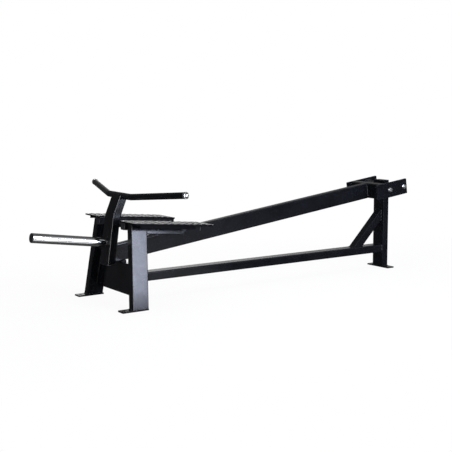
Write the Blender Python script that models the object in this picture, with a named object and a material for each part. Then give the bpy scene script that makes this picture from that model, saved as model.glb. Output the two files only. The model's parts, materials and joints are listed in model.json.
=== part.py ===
"""T-bar row machine: a weight lever on a bearing yoke, over a welded base with two tread platforms.

Metres, +Z up. +X runs from the weight sleeve towards the pivot post, the near side is -Y.
Base pieces are laid out from a point on the floor under the pivot axis, the front frame from a
leaning frame between its two legs, and lever pieces from the pivot axis, with the lever level.
"""

import math

import bpy
import bmesh
from mathutils import Matrix, Vector

# Clearance between neighbours that touch on the real machine
GAP = 0.0003

# Rectangular tube that the post, legs, lever, yoke and upright are cut from
TUBE_WIDE = 0.093
TUBE_NARROW = 0.045
TUBE_WALL = 0.003
TUBE_CORNER = 0.006

# Square tubes: the brace, and the platforms' inner rails with the side of the supports' tube
BRACE_SIDE = 0.050
SQUARE_SIDE = 0.040
SQUARE_WALL = 0.0025
SQUARE_CORNER = 0.004

# Flat bar of the three feet
FOOT_WIDTH = 0.055
FOOT_THICKNESS = 0.008
FOOT_CORNER = 0.003
FRONT_FOOT_LENGTH = 0.150
REAR_FOOT_LENGTH = 0.187
FRONT_FOOT_INSET = 0.005
REAR_FOOT_SETBACK = 0.004
ANCHOR_RADIUS = 0.006
ANCHOR_EDGE = 0.022

# Pivot post, base beam and brace
PIVOT_HEIGHT = 0.509
POST_ABOVE_PIVOT = 0.044
BEAM_WIDE = 0.074
BEAM_TALL = 0.048
BEAM_TOP = 0.1452
BRACE_REACH = 0.1868
CAP_THICKNESS = 0.003
PLUG_DEPTH = 0.018

# Front frame: two splayed legs that lean back, square to the platforms
LEG_BEHIND_UPRIGHT = 0.0262
FRAME_LEAN = math.radians(5.0)
LEG_SPLAY = math.radians(9.8)

# Platforms, in the leaning frame
PLATFORM_TOP = 0.4425
PLATFORM_INNER = 0.115
PLATFORM_WIDTH = 0.168
PLATFORM_LENGTH = 0.473
PLATFORM_OVERHANG = 0.0185
PLATFORM_CORNER = 0.006
TREAD_THICKNESS = 0.005
LIP_DEPTH = 0.008
LIP_THICKNESS = 0.003
ANGLE_SIDE = 0.020
ANGLE_WALL = 0.004
ANGLE_SETBACK = 0.030
ANGLE_SHORTFALL = 0.114
SUPPORT_DEPTH = 0.054
SUPPORT_CUT = math.radians(52.0)
SUPPORT_TIP_CLEARANCE = 0.014
RIB_WIDTH = 0.040
RIB_THICKNESS = 0.006
RIB_FROM_REAR = 0.030

# Cross tube between the legs, with the lever's rest pad on its top face
CROSS_TUBE_SETBACK = 0.0465
CROSS_TUBE_DEPTH = 0.050
CROSS_TUBE_BOTTOM = 0.058
CROSS_TUBE_WALL = 0.004
PAD_WIDTH = 0.060
PAD_LENGTH = 0.030
PAD_THICKNESS = 0.003

# Lever: a straight tube from the yoke to the upright
REST_TILT = math.radians(7.4)
LEVER_REACH = 1.9198
UPRIGHT_LEAN = math.radians(15.4)
UPRIGHT_BEND = math.radians(14.6)
UPRIGHT_LOWER = 0.2486
UPRIGHT_UPPER = 0.1145
SADDLE_DROP = 0.006

# Yoke
PLATE_LENGTH = 0.250
PLATE_TAIL = 0.084
PLATE_HEIGHT = 0.093
PLATE_THICKNESS = 0.010
PLATE_CORNER = 0.004
YOKE_HALF_WIDTH = 0.139
YOKE_TUBE_FRONT = 0.139

# Pivot shaft, its flanged bearing units and spacers
SHAFT_RADIUS = 0.015
BOLT_SPACING = 0.117
FLANGE_THICKNESS = 0.013
FLANGE_EAR_RADIUS = 0.015
FLANGE_BELLY_RADIUS = 0.041
HOUSING_RADIUS = 0.038
HOUSING_MOUTH_RADIUS = 0.035
HOUSING_DEPTH = 0.031
INSERT_RADIUS = 0.031
OUTER_RING_WIDTH = 0.018
OUTER_RING_BORE = 0.0249
INNER_RING_WIDTH = 0.038
INNER_RING_RADIUS = 0.0202
BALL_PITCH_RADIUS = 0.0225
BALL_RADIUS = 0.00476
BALL_COUNT = 9
CAGE_WIDTH = 0.005
CAGE_THICKNESS = 0.0016
SPACER_RADIUS = 0.021

# M14 bolts of the bearing units
BOLT_RADIUS = 0.007
BOLT_HOLE_RADIUS = 0.0075
BOLT_HEAD_HEIGHT = 0.0105
BOLT_CHAMFER = 0.0012
BOLT_FLANGE_RADIUS = 0.0145
BOLT_FLANGE_RISE = 0.0034
BOLT_FLANGE_EDGE = 0.0014
BOLT_ACROSS_FLATS = 0.022
NUT_HEIGHT = 0.0128
THREAD_BEYOND_NUT = 0.004

# Handlebar
BAR_RADIUS = 0.01685
BAR_WALL = 0.003
BAR_MIDDLE_HALF = 0.1205
BAR_BEND_RADIUS = 0.060
BAR_ARM_SWEEP = 0.1033
BAR_ARM_RISE = 0.018
BAR_ARM_SPREAD = 0.361
BAR_CAP_RADIUS = 0.0180
BAR_CAP_LENGTH = 0.014
BAR_CAP_CHAMFER = 0.0025
BAR_CAP_SPIGOT = 0.022
CAP_SCREW_RADIUS = 0.004
CAP_SCREW_HEAD_RADIUS = 0.0075
CAP_SCREW_HEAD_HEIGHT = 0.004
CAP_SCREW_RIM = 0.0022
CAP_SCREW_CROWN_RADIUS = 0.0052
CAP_SCREW_LENGTH = 0.018
CAP_SCREW_SOCKET = 0.0025
CAP_SCREW_SOCKET_FLOOR = 0.0015

# Weight sleeve
SLEEVE_RADIUS = 0.025
SLEEVE_WALL = 0.005
SLEEVE_LENGTH = 0.413
SLEEVE_HEIGHT = 0.064
SLEEVE_PLUG_FLANGE = 0.004
SLEEVE_PLUG_CHAMFER = 0.001

# Facets of the round pieces
ROUND_STEPS = 32
SMALL_STEPS = 18
BAR_STEPS = 24
BEND_STEPS = 5
GROOVE_STEPS = 4
CORNER_STEPS = 2
BALL_STEPS = 2
SMOOTH_ANGLE = math.radians(40.0)

X_AXIS = Vector((1.0, 0.0, 0.0))
Y_AXIS = Vector((0.0, 1.0, 0.0))
Z_AXIS = Vector((0.0, 0.0, 1.0))
SIDES = (("near", -1), ("far", 1))
ENDS = (("front", -1), ("rear", 1))

# Place of the front frame, and heights and stations in it
LEG_STATION = LEVER_REACH - LEG_BEHIND_UPRIGHT
LEG_HALF = TUBE_WIDE / 2
PLATFORM_FRONT = -LEG_HALF - PLATFORM_OVERHANG
PLATFORM_REAR = PLATFORM_FRONT + PLATFORM_LENGTH
RIB_FRONT = PLATFORM_REAR - LIP_THICKNESS - RIB_FROM_REAR - RIB_WIDTH
SUPPORT_TIP = RIB_FRONT - SUPPORT_TIP_CLEARANCE
TREAD_UNDERSIDE = PLATFORM_TOP - TREAD_THICKNESS - GAP
RAIL_INNER = PLATFORM_INNER + LIP_THICKNESS + GAP
RAIL_OUTER = RAIL_INNER + SQUARE_SIDE
LEG_TOP_INNER = RAIL_OUTER + GAP
LEG_TOP_CENTRE = LEG_TOP_INNER + TUBE_NARROW / 2 / math.cos(LEG_SPLAY)
CROSS_FRONT_FACE = -LEG_HALF + CROSS_TUBE_SETBACK
CROSS_REAR_FACE = CROSS_FRONT_FACE + CROSS_TUBE_DEPTH

# Stations of the lever, measured from the pivot axis
PLATE_INNER = YOKE_HALF_WIDTH - PLATE_THICKNESS
YOKE_TUBE_REAR = YOKE_TUBE_FRONT - TUBE_NARROW
POST_HALF_DEPTH = TUBE_NARROW / 2
POST_HALF_WIDTH = TUBE_WIDE / 2
LEVER_HALF = TUBE_WIDE / 2


def clear_scene():
    for item in list(bpy.data.objects):
        bpy.data.objects.remove(item, do_unlink=True)


def finish_material(name, colour, metallic, roughness):
    """Principled material with one plain colour, given as linear red, green and blue."""
    material = bpy.data.materials.new(name)
    material.use_nodes = True
    shader = material.node_tree.nodes["Principled BSDF"]
    shader.inputs["Base Color"].default_value = (*colour, 1.0)
    shader.inputs["Metallic"].default_value = metallic
    shader.inputs["Roughness"].default_value = roughness
    material.diffuse_color = (*colour, 1.0)
    return material


def empty_frame(name, location, tilt=0.0, parent=None):
    """Empty that carries a group of pieces, turned about Y by tilt."""
    empty = bpy.data.objects.new(name, None)
    empty.location = location
    empty.rotation_euler = (0.0, tilt, 0.0)
    empty.parent = parent
    bpy.context.scene.collection.objects.link(empty)
    return empty


def rounded_rectangle(width, height, radius, steps=CORNER_STEPS):
    """Outline of a rectangle with round corners, centred on zero, anticlockwise."""
    points = []
    for quarter, (side, up) in enumerate(((1, 1), (-1, 1), (-1, -1), (1, -1))):
        for step in range(steps + 1):
            angle = math.pi / 2 * (quarter + step / steps)
            across = side * (width / 2 - radius) + radius * math.cos(angle)
            along = up * (height / 2 - radius) + radius * math.sin(angle)
            points.append((across, along))
    return points


def circle(radius, steps=ROUND_STEPS):
    """Outline of a circle centred on zero."""
    angles = [math.tau * i / steps for i in range(steps)]
    return [(radius * math.cos(angle), radius * math.sin(angle)) for angle in angles]


def placed(outline, origin, across, along):
    """Outline laid on the plane through origin, with its two axes along the given vectors."""
    return [origin + across * u + along * v for u, v in outline]


def slid_to_plane(points, direction, plane_point, plane_normal):
    """Points moved along a direction until they lie on a plane."""
    pace = direction.dot(plane_normal)
    return [p + direction * ((plane_point - p).dot(plane_normal) / pace) for p in points]


def loft(name, loops, finish, parent, ring=False):
    """Closed solid through loops of equal length: capped at both ends, or joined into a ring."""
    mesh = bpy.data.meshes.new(name)
    bm = bmesh.new()
    add_loft(bm, loops, ring)
    return finished_object(name, bm, mesh, finish, parent)


def add_loft(bm, loops, ring=False):
    rows = [[bm.verts.new(point) for point in loop] for loop in loops]
    count = len(rows[0])
    pairs = list(zip(rows, rows[1:]))
    if ring:
        pairs.append((rows[-1], rows[0]))
    else:
        bm.faces.new(rows[0])
        bm.faces.new(rows[-1])
    for low, high in pairs:
        for i in range(count):
            j = (i + 1) % count
            bm.faces.new((low[i], low[j], high[j], high[i]))


def finished_object(name, bm, mesh, finish, parent):
    bmesh.ops.recalc_face_normals(bm, faces=bm.faces)
    if bm.calc_volume(signed=True) < 0:
        bmesh.ops.reverse_faces(bm, faces=bm.faces)
    bm.to_mesh(mesh)
    bm.free()
    mesh.shade_smooth()
    mesh.set_sharp_from_angle(angle=SMOOTH_ANGLE)
    mesh.materials.append(finish)
    piece = bpy.data.objects.new(name, mesh)
    piece.parent = parent
    bpy.context.scene.collection.objects.link(piece)
    return piece


def tube_loops(section, path, normals, wide_axis):
    """Section carried along a path, cut at each station by the plane with that station's normal."""
    loops = []
    for i, station in enumerate(path):
        start = min(i, len(path) - 2)
        direction = (path[start + 1] - path[start]).normalized()
        across = (wide_axis - direction * wide_axis.dot(direction)).normalized()
        along = direction.cross(across)
        points = placed(section, station, across, along)
        loops.append(slid_to_plane(points, direction, station, normals[i]))
    return loops


def box_tube(name, path, normals, wide_axis, finish, parent,
             wide=TUBE_WIDE, narrow=TUBE_NARROW, wall=TUBE_WALL, corner=TUBE_CORNER):
    """Hollow rectangular tube along a path, open at both ends."""
    outer = rounded_rectangle(wide, narrow, corner)
    inner = rounded_rectangle(wide - 2 * wall, narrow - 2 * wall, corner - wall / 2)
    loops = tube_loops(outer, path, normals, wide_axis)
    loops += reversed(tube_loops(inner, path, normals, wide_axis))
    return loft(name, loops, finish, parent, ring=True)


def square_tube(name, path, normals, wide_axis, finish, parent, wide=SQUARE_SIDE):
    """Hollow square tube, or one of another depth, along a path."""
    return box_tube(name, path, normals, wide_axis, finish, parent,
                    wide, SQUARE_SIDE, SQUARE_WALL, SQUARE_CORNER)


def tube_plug(name, centre, outward, wide_axis, finish, parent, cut_normal=None,
              wide=TUBE_WIDE, narrow=TUBE_NARROW, wall=TUBE_WALL, corner=TUBE_CORNER):
    """End plug: a cap as large as the tube, with a spigot that enters it."""
    normal = cut_normal or outward
    across = (wide_axis - outward * wide_axis.dot(outward)).normalized()
    along = outward.cross(across)
    inside = wall + GAP
    cap = rounded_rectangle(wide, narrow, corner)
    spigot = rounded_rectangle(wide - 2 * inside, narrow - 2 * inside, corner - wall / 2)
    loops = []
    for outline, offset in ((cap, CAP_THICKNESS), (cap, GAP), (spigot, GAP)):
        point = centre + normal * offset
        loops.append(slid_to_plane(placed(outline, point, across, along), outward, point, normal))
    tip = centre - outward * PLUG_DEPTH
    loops.append(placed(spigot, tip, across, along))
    return loft(name, loops, finish, parent)


def turned(name, profile, centre, axis, finish, parent, ring=False, steps=ROUND_STEPS):
    """Solid of revolution from (distance along the axis, radius) pairs."""
    mesh = bpy.data.meshes.new(name)
    bm = bmesh.new()
    add_turned(bm, profile, centre, axis, ring, steps)
    return finished_object(name, bm, mesh, finish, parent)


def add_turned(bm, profile, centre, axis, ring=False, steps=ROUND_STEPS):
    across = axis.orthogonal().normalized()
    along = axis.cross(across)
    loops = []
    for distance, radius in profile:
        loops.append(placed(circle(radius, steps), centre + axis * distance, across, along))
    add_loft(bm, loops, ring)


def slab(name, outline, origin, across, along, thickness, finish, parent):
    """Flat plate: an outline on the plane of two axes, thickened along their cross product."""
    start = placed(outline, origin, across, along)
    rise = across.cross(along) * thickness
    return loft(name, [start, [p + rise for p in start]], finish, parent)


def drill(piece, name, centre, axis, radius, half):
    """Cut a round hole with a hidden turned cutter that reaches half its length to each side."""
    profile = [(-half, radius), (half, radius)]
    cutter = turned(name, profile, centre, axis, None, piece.parent, steps=SMALL_STEPS)
    combine(piece, cutter, "DIFFERENCE")


def combine(piece, other, operation):
    """Boolean of a piece with a hidden helper object."""
    other.hide_render = True
    other.display_type = "WIRE"
    step = piece.modifiers.new(other.name, "BOOLEAN")
    step.operation = operation
    step.solver = "EXACT"
    step.object = other


def leaning(point):
    """Point of the front frame, measured from the floor under the pivot axis."""
    return Vector((-LEG_STATION, 0.0, 0.0)) + Matrix.Rotation(FRAME_LEAN, 3, "Y") @ point


def lever_at_rest(point):
    """Point of the lever, measured from the floor under the pivot axis, with the lever on its pad."""
    return Vector((0.0, 0.0, PIVOT_HEIGHT)) + Matrix.Rotation(-REST_TILT, 3, "Y") @ point


def into_front_frame(point):
    """Point measured from under the pivot axis, in the front frame's own leaning axes."""
    return Matrix.Rotation(-FRAME_LEAN, 3, "Y") @ (point + Vector((LEG_STATION, 0.0, 0.0)))


def lever_underside_height(station):
    """Height of the resting lever's underside in the front frame, at a station of that frame."""
    low = into_front_frame(lever_at_rest(Vector((-LEVER_REACH, 0.0, -LEVER_HALF))))
    high = into_front_frame(lever_at_rest(Vector((0.0, 0.0, -LEVER_HALF))))
    share = (station - low.x) / (high.x - low.x)
    return low.z + share * (high.z - low.z)


def leg_axis_point(side, height):
    """Point on a leg's axis at a height of the front frame."""
    spread = LEG_TOP_CENTRE + (TREAD_UNDERSIDE - height) * math.tan(LEG_SPLAY)
    return Vector((0.0, side * spread, height))


def leg_inner_face(height):
    """Distance of a leg's inner face from the middle, at a height of the front frame."""
    return leg_axis_point(1, height).y - TUBE_NARROW / 2 / math.cos(LEG_SPLAY)


def leg_foot_point(side):
    """Point where a leg's axis meets the top of its foot, in the front frame."""
    floor_up = Matrix.Rotation(-FRAME_LEAN, 3, "Y") @ Z_AXIS
    top = leg_axis_point(side, TREAD_UNDERSIDE)
    down = (leg_axis_point(side, 0.0) - top).normalized()
    drop = (top.dot(floor_up) - FOOT_THICKNESS - GAP) / -down.dot(floor_up)
    return top + down * drop, floor_up


def build_legs(coat, frame):
    for label, side in SIDES:
        foot, floor_up = leg_foot_point(side)
        path = [foot, leg_axis_point(side, TREAD_UNDERSIDE)]
        box_tube("front_leg_" + label, path, (floor_up, Z_AXIS), X_AXIS, coat, frame)


def build_front_feet(coat, base):
    outline = rounded_rectangle(FRONT_FOOT_LENGTH, FOOT_WIDTH, FOOT_CORNER)
    for label, side in SIDES:
        foot, _ = leg_foot_point(side)
        ground = leaning(foot)
        rear = ground.x + LEG_HALF / math.cos(FRAME_LEAN)
        centre = Vector((rear - FRONT_FOOT_LENGTH / 2, ground.y - side * FRONT_FOOT_INSET, 0.0))
        name = "front_foot_plate_" + label
        plate = slab(name, outline, centre, X_AXIS, Y_AXIS, FOOT_THICKNESS, coat, base)
        hole = centre - X_AXIS * (FRONT_FOOT_LENGTH / 2 - ANCHOR_EDGE)
        drill(plate, "anchor_cutter_" + label, hole, Z_AXIS, ANCHOR_RADIUS, 2 * FOOT_THICKNESS)


def build_cross_tube(coat, rubber, frame):
    """Tube between the legs, and the wedge pad on it that follows the resting lever's underside."""
    pad_front = CROSS_FRONT_FACE + TUBE_CORNER
    pad_rear = pad_front + PAD_LENGTH
    over_front = lever_underside_height(pad_front) - GAP
    over_rear = lever_underside_height(pad_rear) - GAP
    seat = over_front - PAD_THICKNESS
    top = seat - GAP
    middle_x = (CROSS_FRONT_FACE + CROSS_REAR_FACE) / 2
    middle_z = (top + CROSS_TUBE_BOTTOM) / 2
    half = leg_inner_face(middle_z) - GAP
    path = [Vector((middle_x, side * half, middle_z)) for _, side in SIDES]
    leg_faces = [Vector((0.0, math.cos(LEG_SPLAY), side * math.sin(LEG_SPLAY))) for _, side in SIDES]
    box_tube("cross_tube", path, leg_faces, Z_AXIS, coat, frame,
             top - CROSS_TUBE_BOTTOM, CROSS_TUBE_DEPTH, CROSS_TUBE_WALL)
    side_view = [(pad_front, seat), (pad_rear, seat), (pad_rear, over_rear), (pad_front, over_front)]
    edge = Vector((0.0, PAD_WIDTH / 2, 0.0))
    slab("rest_pad", side_view, edge, X_AXIS, Z_AXIS, PAD_WIDTH, rubber, frame)


def build_platforms(tread, coat, plastic, frame):
    """Two tread plates with folded lips, and the rails, supports, ribs and plugs that hold them."""
    rail_height = TREAD_UNDERSIDE - SQUARE_SIDE / 2
    rail_front = PLATFORM_FRONT + PLATFORM_CORNER + GAP
    rail_rear = PLATFORM_REAR - PLATFORM_CORNER - GAP
    middle_x = (PLATFORM_FRONT + PLATFORM_REAR) / 2
    middle_y = PLATFORM_INNER + PLATFORM_WIDTH / 2
    outer_face = PLATFORM_INNER + PLATFORM_WIDTH - LIP_THICKNESS - GAP
    for label, side in SIDES:
        centre = Vector((middle_x, side * middle_y, 0.0))
        build_tread_plate(label, centre, tread, frame)
        rail_y = side * (RAIL_INNER + RAIL_OUTER) / 2
        start = Vector((rail_front + CAP_THICKNESS, rail_y, rail_height))
        end = Vector((rail_rear - CAP_THICKNESS, rail_y, rail_height))
        square_tube("platform_rail_" + label, [start, end], (X_AXIS, X_AXIS), Y_AXIS, coat, frame)
        for spot, point, outward in (("front", start, -X_AXIS), ("rear", end, X_AXIS)):
            name = "rail_plug_" + spot + "_" + label
            tube_plug(name, point, outward, Y_AXIS, plastic, frame, None,
                      SQUARE_SIDE, SQUARE_SIDE, SQUARE_WALL, SQUARE_CORNER)
        build_support(label, side, coat, frame)
        build_edge_angle(label, side * outer_face, side, tread, frame)
        build_rib(label, side, outer_face, coat, frame)


def build_tread_plate(label, centre, tread, frame):
    width = PLATFORM_WIDTH - 2 * LIP_THICKNESS
    length = PLATFORM_LENGTH - 2 * LIP_THICKNESS
    outer = rounded_rectangle(PLATFORM_LENGTH, PLATFORM_WIDTH, PLATFORM_CORNER)
    inner = rounded_rectangle(length, width, PLATFORM_CORNER - LIP_THICKNESS)
    lip_edge = PLATFORM_TOP - LIP_DEPTH
    stations = ((outer, PLATFORM_TOP), (outer, lip_edge), (inner, lip_edge),
                (inner, PLATFORM_TOP - TREAD_THICKNESS))
    loops = [placed(outline, centre + Z_AXIS * height, X_AXIS, Y_AXIS) for outline, height in stations]
    loft("tread_plate_" + label, loops, tread, frame)


def build_support(label, side, coat, frame):
    """Tube behind each leg, rolled to the leg's splay, with a slanted end closed by a plate."""
    drop = (SUPPORT_DEPTH * math.cos(LEG_SPLAY) + SQUARE_SIDE * math.sin(LEG_SPLAY)) / 2
    centre = leg_axis_point(side, TREAD_UNDERSIDE - drop)
    start = centre + X_AXIS * (LEG_HALF + GAP)
    end = centre + X_AXIS * (SUPPORT_TIP - drop * math.tan(SUPPORT_CUT))
    cut = Vector((math.cos(SUPPORT_CUT), 0.0, -math.sin(SUPPORT_CUT)))
    along_leg = Vector((0.0, -side * math.sin(LEG_SPLAY), math.cos(LEG_SPLAY)))
    square_tube("platform_support_" + label, [start, end], (X_AXIS, cut), along_leg, coat, frame,
                SUPPORT_DEPTH)
    outline = rounded_rectangle(SUPPORT_DEPTH, SQUARE_SIDE, SQUARE_CORNER)
    section = placed(outline, end, along_leg, X_AXIS.cross(along_leg))
    faces = [end + cut * offset for offset in (GAP, GAP + CAP_THICKNESS)]
    loops = [slid_to_plane(section, X_AXIS, face, cut) for face in faces]
    loft("support_cover_" + label, loops, coat, frame)


def build_edge_angle(label, outer_face, side, coat, frame):
    """Small angle bar that stiffens the tread plate's outer edge, clear of its front corner."""
    top = TREAD_UNDERSIDE
    front = PLATFORM_FRONT + ANGLE_SETBACK
    section = [(0.0, 0.0), (-ANGLE_SIDE, 0.0), (-ANGLE_SIDE, -ANGLE_WALL), (-ANGLE_WALL, -ANGLE_WALL),
               (-ANGLE_WALL, -ANGLE_SIDE), (0.0, -ANGLE_SIDE)]
    start = Vector((front, outer_face, top))
    run = PLATFORM_LENGTH - ANGLE_SHORTFALL - ANGLE_SETBACK
    first = placed(section, start, Y_AXIS * side, Z_AXIS)
    last = [p + X_AXIS * run for p in first]
    loft("edge_angle_" + label, [first, last], coat, frame)


def build_rib(label, side, outer_face, coat, frame):
    """Flat bar under the rear of the tread plate, from the rail towards the outer lip."""
    inner = RAIL_OUTER + GAP
    middle_y = side * (inner + outer_face) / 2
    middle = Vector((RIB_FRONT + RIB_WIDTH / 2, middle_y, TREAD_UNDERSIDE - RIB_THICKNESS))
    outline = rounded_rectangle(RIB_WIDTH, outer_face - inner, FOOT_CORNER)
    slab("platform_rib_" + label, outline, middle, X_AXIS, Y_AXIS, RIB_THICKNESS, coat, frame)


def build_base(coat, plastic, base):
    """Post with its foot and cap, the beam to the cross tube, and the brace between them."""
    post_foot = Vector((0.0, 0.0, FOOT_THICKNESS + GAP))
    post_head = Vector((0.0, 0.0, PIVOT_HEIGHT + POST_ABOVE_PIVOT - CAP_THICKNESS))
    post = box_tube("pivot_post", [post_foot, post_head], (Z_AXIS, Z_AXIS), Y_AXIS, coat, base)
    shaft_hole = Vector((0.0, 0.0, PIVOT_HEIGHT))
    drill(post, "shaft_hole_cutter", shaft_hole, Y_AXIS, SHAFT_RADIUS + GAP, TUBE_WIDE)
    build_post_cap(post_head, plastic, base)
    foot = rounded_rectangle(FOOT_WIDTH, REAR_FOOT_LENGTH, FOOT_CORNER)
    centre = Vector((REAR_FOOT_SETBACK, 0.0, 0.0))
    plate = slab("rear_foot_plate", foot, centre, X_AXIS, Y_AXIS, FOOT_THICKNESS, coat, base)
    for label, side in SIDES:
        hole = centre + Y_AXIS * side * (REAR_FOOT_LENGTH / 2 - ANCHOR_EDGE)
        drill(plate, "rear_anchor_cutter_" + label, hole, Z_AXIS, ANCHOR_RADIUS, 2 * FOOT_THICKNESS)
    build_beam_and_brace(coat, base)


def build_post_cap(post_head, plastic, base):
    """Plug of the post, short enough to stay above the shaft."""
    inside = TUBE_WALL + GAP
    cap = rounded_rectangle(TUBE_WIDE, TUBE_NARROW, TUBE_CORNER)
    inner_corner = TUBE_CORNER - TUBE_WALL / 2
    spigot = rounded_rectangle(TUBE_WIDE - 2 * inside, TUBE_NARROW - 2 * inside, inner_corner)
    stations = ((cap, CAP_THICKNESS), (cap, GAP), (spigot, GAP), (spigot, -PLUG_DEPTH))
    loops = [placed(outline, post_head + Z_AXIS * height, Y_AXIS, -X_AXIS) for outline, height in stations]
    loft("post_cap", loops, plastic, base)


def build_beam_and_brace(coat, base):
    beam_height = BEAM_TOP - BEAM_TALL / 2
    face_normal = leaning(X_AXIS) - leaning(Vector())
    face_point = leaning(Vector((CROSS_REAR_FACE + GAP, 0.0, 0.0)))
    start = slid_to_plane([Vector((0.0, 0.0, beam_height))], X_AXIS, face_point, face_normal)[0]
    end = Vector((-POST_HALF_DEPTH - GAP, 0.0, beam_height))
    box_tube("base_beam", [start, end], (face_normal, X_AXIS), Y_AXIS, coat, base,
             BEAM_WIDE, BEAM_TALL)
    low = Vector((-POST_HALF_DEPTH - BRACE_REACH, 0.0, BEAM_TOP + GAP))
    high = Vector((-POST_HALF_DEPTH - GAP, 0.0, BEAM_TOP + BRACE_REACH))
    box_tube("post_brace", [low, high], (Z_AXIS, X_AXIS), Y_AXIS, coat, base,
             BRACE_SIDE, BRACE_SIDE, SQUARE_WALL, SQUARE_CORNER)


def build_shaft(steel, base):
    """Shaft through the post, with a spacer on each side that centres the yoke."""
    centre = Vector((0.0, 0.0, PIVOT_HEIGHT))
    half = PLATE_INNER - GAP
    turned("pivot_shaft", [(-half, SHAFT_RADIUS), (half, SHAFT_RADIUS)], centre, Y_AXIS, steel, base)
    near_end = POST_HALF_WIDTH + GAP
    far_end = PLATE_INNER - INNER_RING_WIDTH - 2 * GAP
    bore = SHAFT_RADIUS + GAP
    profile = [(near_end, bore), (near_end, SPACER_RADIUS), (far_end, SPACER_RADIUS), (far_end, bore)]
    for label, side in SIDES:
        turned("shaft_spacer_" + label, profile, centre, Y_AXIS * side, steel, base, ring=True)


def race_arc(radius, low, high):
    """Points of a ball groove around the ball's centre, as (distance, radius) pairs."""
    points = []
    for i in range(GROOVE_STEPS + 1):
        angle = low + (high - low) * i / GROOVE_STEPS
        points.append((radius * math.cos(angle), BALL_PITCH_RADIUS + radius * math.sin(angle)))
    return points


def build_bearings(cast, steel, lever, base):
    """Flanged two-bolt unit on each yoke plate: housing, insert rings and ball ring."""
    groove = BALL_RADIUS + GAP
    outer_rise = math.asin((OUTER_RING_BORE - BALL_PITCH_RADIUS) / groove)
    inner_drop = math.asin((INNER_RING_RADIUS - BALL_PITCH_RADIUS) / groove)
    ball_plane = PLATE_INNER - GAP - INNER_RING_WIDTH / 2
    half_outer = OUTER_RING_WIDTH / 2
    half_inner = INNER_RING_WIDTH / 2
    outer_groove = race_arc(groove, math.pi - outer_rise, outer_rise)
    inner_groove = race_arc(groove, -math.pi - inner_drop, inner_drop)
    for label, side in SIDES:
        axis = Y_AXIS * side
        centre = axis * ball_plane
        build_housing(label, axis, cast, lever)
        outer = [(-half_outer, INSERT_RADIUS - GAP), (-half_outer, OUTER_RING_BORE)]
        outer += outer_groove
        outer += [(half_outer, OUTER_RING_BORE), (half_outer, INSERT_RADIUS - GAP)]
        turned("bearing_outer_ring_" + label, outer, centre, axis, steel, lever, ring=True)
        lifted = centre + Z_AXIS * PIVOT_HEIGHT
        inner = [(-half_inner, SHAFT_RADIUS + GAP), (-half_inner, INNER_RING_RADIUS)]
        inner += inner_groove
        inner += [(half_inner, INNER_RING_RADIUS), (half_inner, SHAFT_RADIUS + GAP)]
        turned("bearing_inner_ring_" + label, inner, lifted, axis, steel, base, ring=True)
        build_ball_ring(label, lifted, axis, steel, base)


def build_ball_ring(label, centre, axis, steel, base):
    """Balls of one bearing on their cage, as one body."""
    wire = CAGE_WIDTH / 2
    inner = BALL_PITCH_RADIUS - CAGE_THICKNESS / 2
    outer = BALL_PITCH_RADIUS + CAGE_THICKNESS / 2
    profile = [(-wire, inner), (-wire, outer), (wire, outer), (wire, inner)]
    cage = turned("bearing_ball_ring_" + label, profile, centre, axis, steel, base, ring=True)
    mesh = bpy.data.meshes.new("ball_joiner_" + label)
    bm = bmesh.new()
    for i in range(BALL_COUNT):
        angle = math.tau * i / BALL_COUNT
        spot = centre + BALL_PITCH_RADIUS * (X_AXIS * math.cos(angle) + Z_AXIS * math.sin(angle))
        place = Matrix.Translation(spot)
        bmesh.ops.create_icosphere(bm, subdivisions=BALL_STEPS, radius=BALL_RADIUS, matrix=place)
    balls = finished_object("ball_joiner_" + label, bm, mesh, None, base)
    combine(cage, balls, "UNION")


def flange_outline():
    """Two-bolt flange: a round belly with tangent lines to the smaller round ears."""
    half = BOLT_SPACING / 2
    tangent = math.acos((FLANGE_BELLY_RADIUS - FLANGE_EAR_RADIUS) / half)
    points = []
    arcs = ((half, FLANGE_EAR_RADIUS, -tangent, tangent),
            (0.0, FLANGE_BELLY_RADIUS, tangent, math.pi - tangent),
            (-half, FLANGE_EAR_RADIUS, math.pi - tangent, math.pi + tangent),
            (0.0, FLANGE_BELLY_RADIUS, math.pi + tangent, math.tau - tangent))
    steps = SMALL_STEPS // 2
    for centre, radius, low, high in arcs:
        for i in range(steps + 1):
            angle = low + (high - low) * i / steps
            points.append((centre + radius * math.cos(angle), radius * math.sin(angle)))
    return points


def build_housing(label, axis, cast, lever):
    """Cast housing: the flange and its round hub as one body, bored for the insert and the bolts."""
    face = axis * (PLATE_INNER - GAP)
    start = placed(flange_outline(), face, X_AXIS, Z_AXIS)
    inward = axis * -FLANGE_THICKNESS
    housing = loft("bearing_housing_" + label, [start, [p + inward for p in start]], cast, lever)
    root = FLANGE_THICKNESS / 2
    hub_profile = [(-HOUSING_DEPTH, HOUSING_MOUTH_RADIUS), (-root, HOUSING_RADIUS)]
    hub = turned("hub_joiner_" + label, hub_profile, face, axis, None, lever)
    combine(housing, hub, "UNION")
    through = 2 * HOUSING_DEPTH
    bore_profile = [(-through, INSERT_RADIUS), (through, INSERT_RADIUS)]
    bore = turned("bore_cutter_" + label, bore_profile, face, axis, None, lever)
    combine(housing, bore, "DIFFERENCE")
    for spot, end in ENDS:
        centre = face + X_AXIS * end * BOLT_SPACING / 2
        name = "ear_cutter_" + spot + "_" + label
        drill(housing, name, centre, axis, BOLT_HOLE_RADIUS, through)


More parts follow.
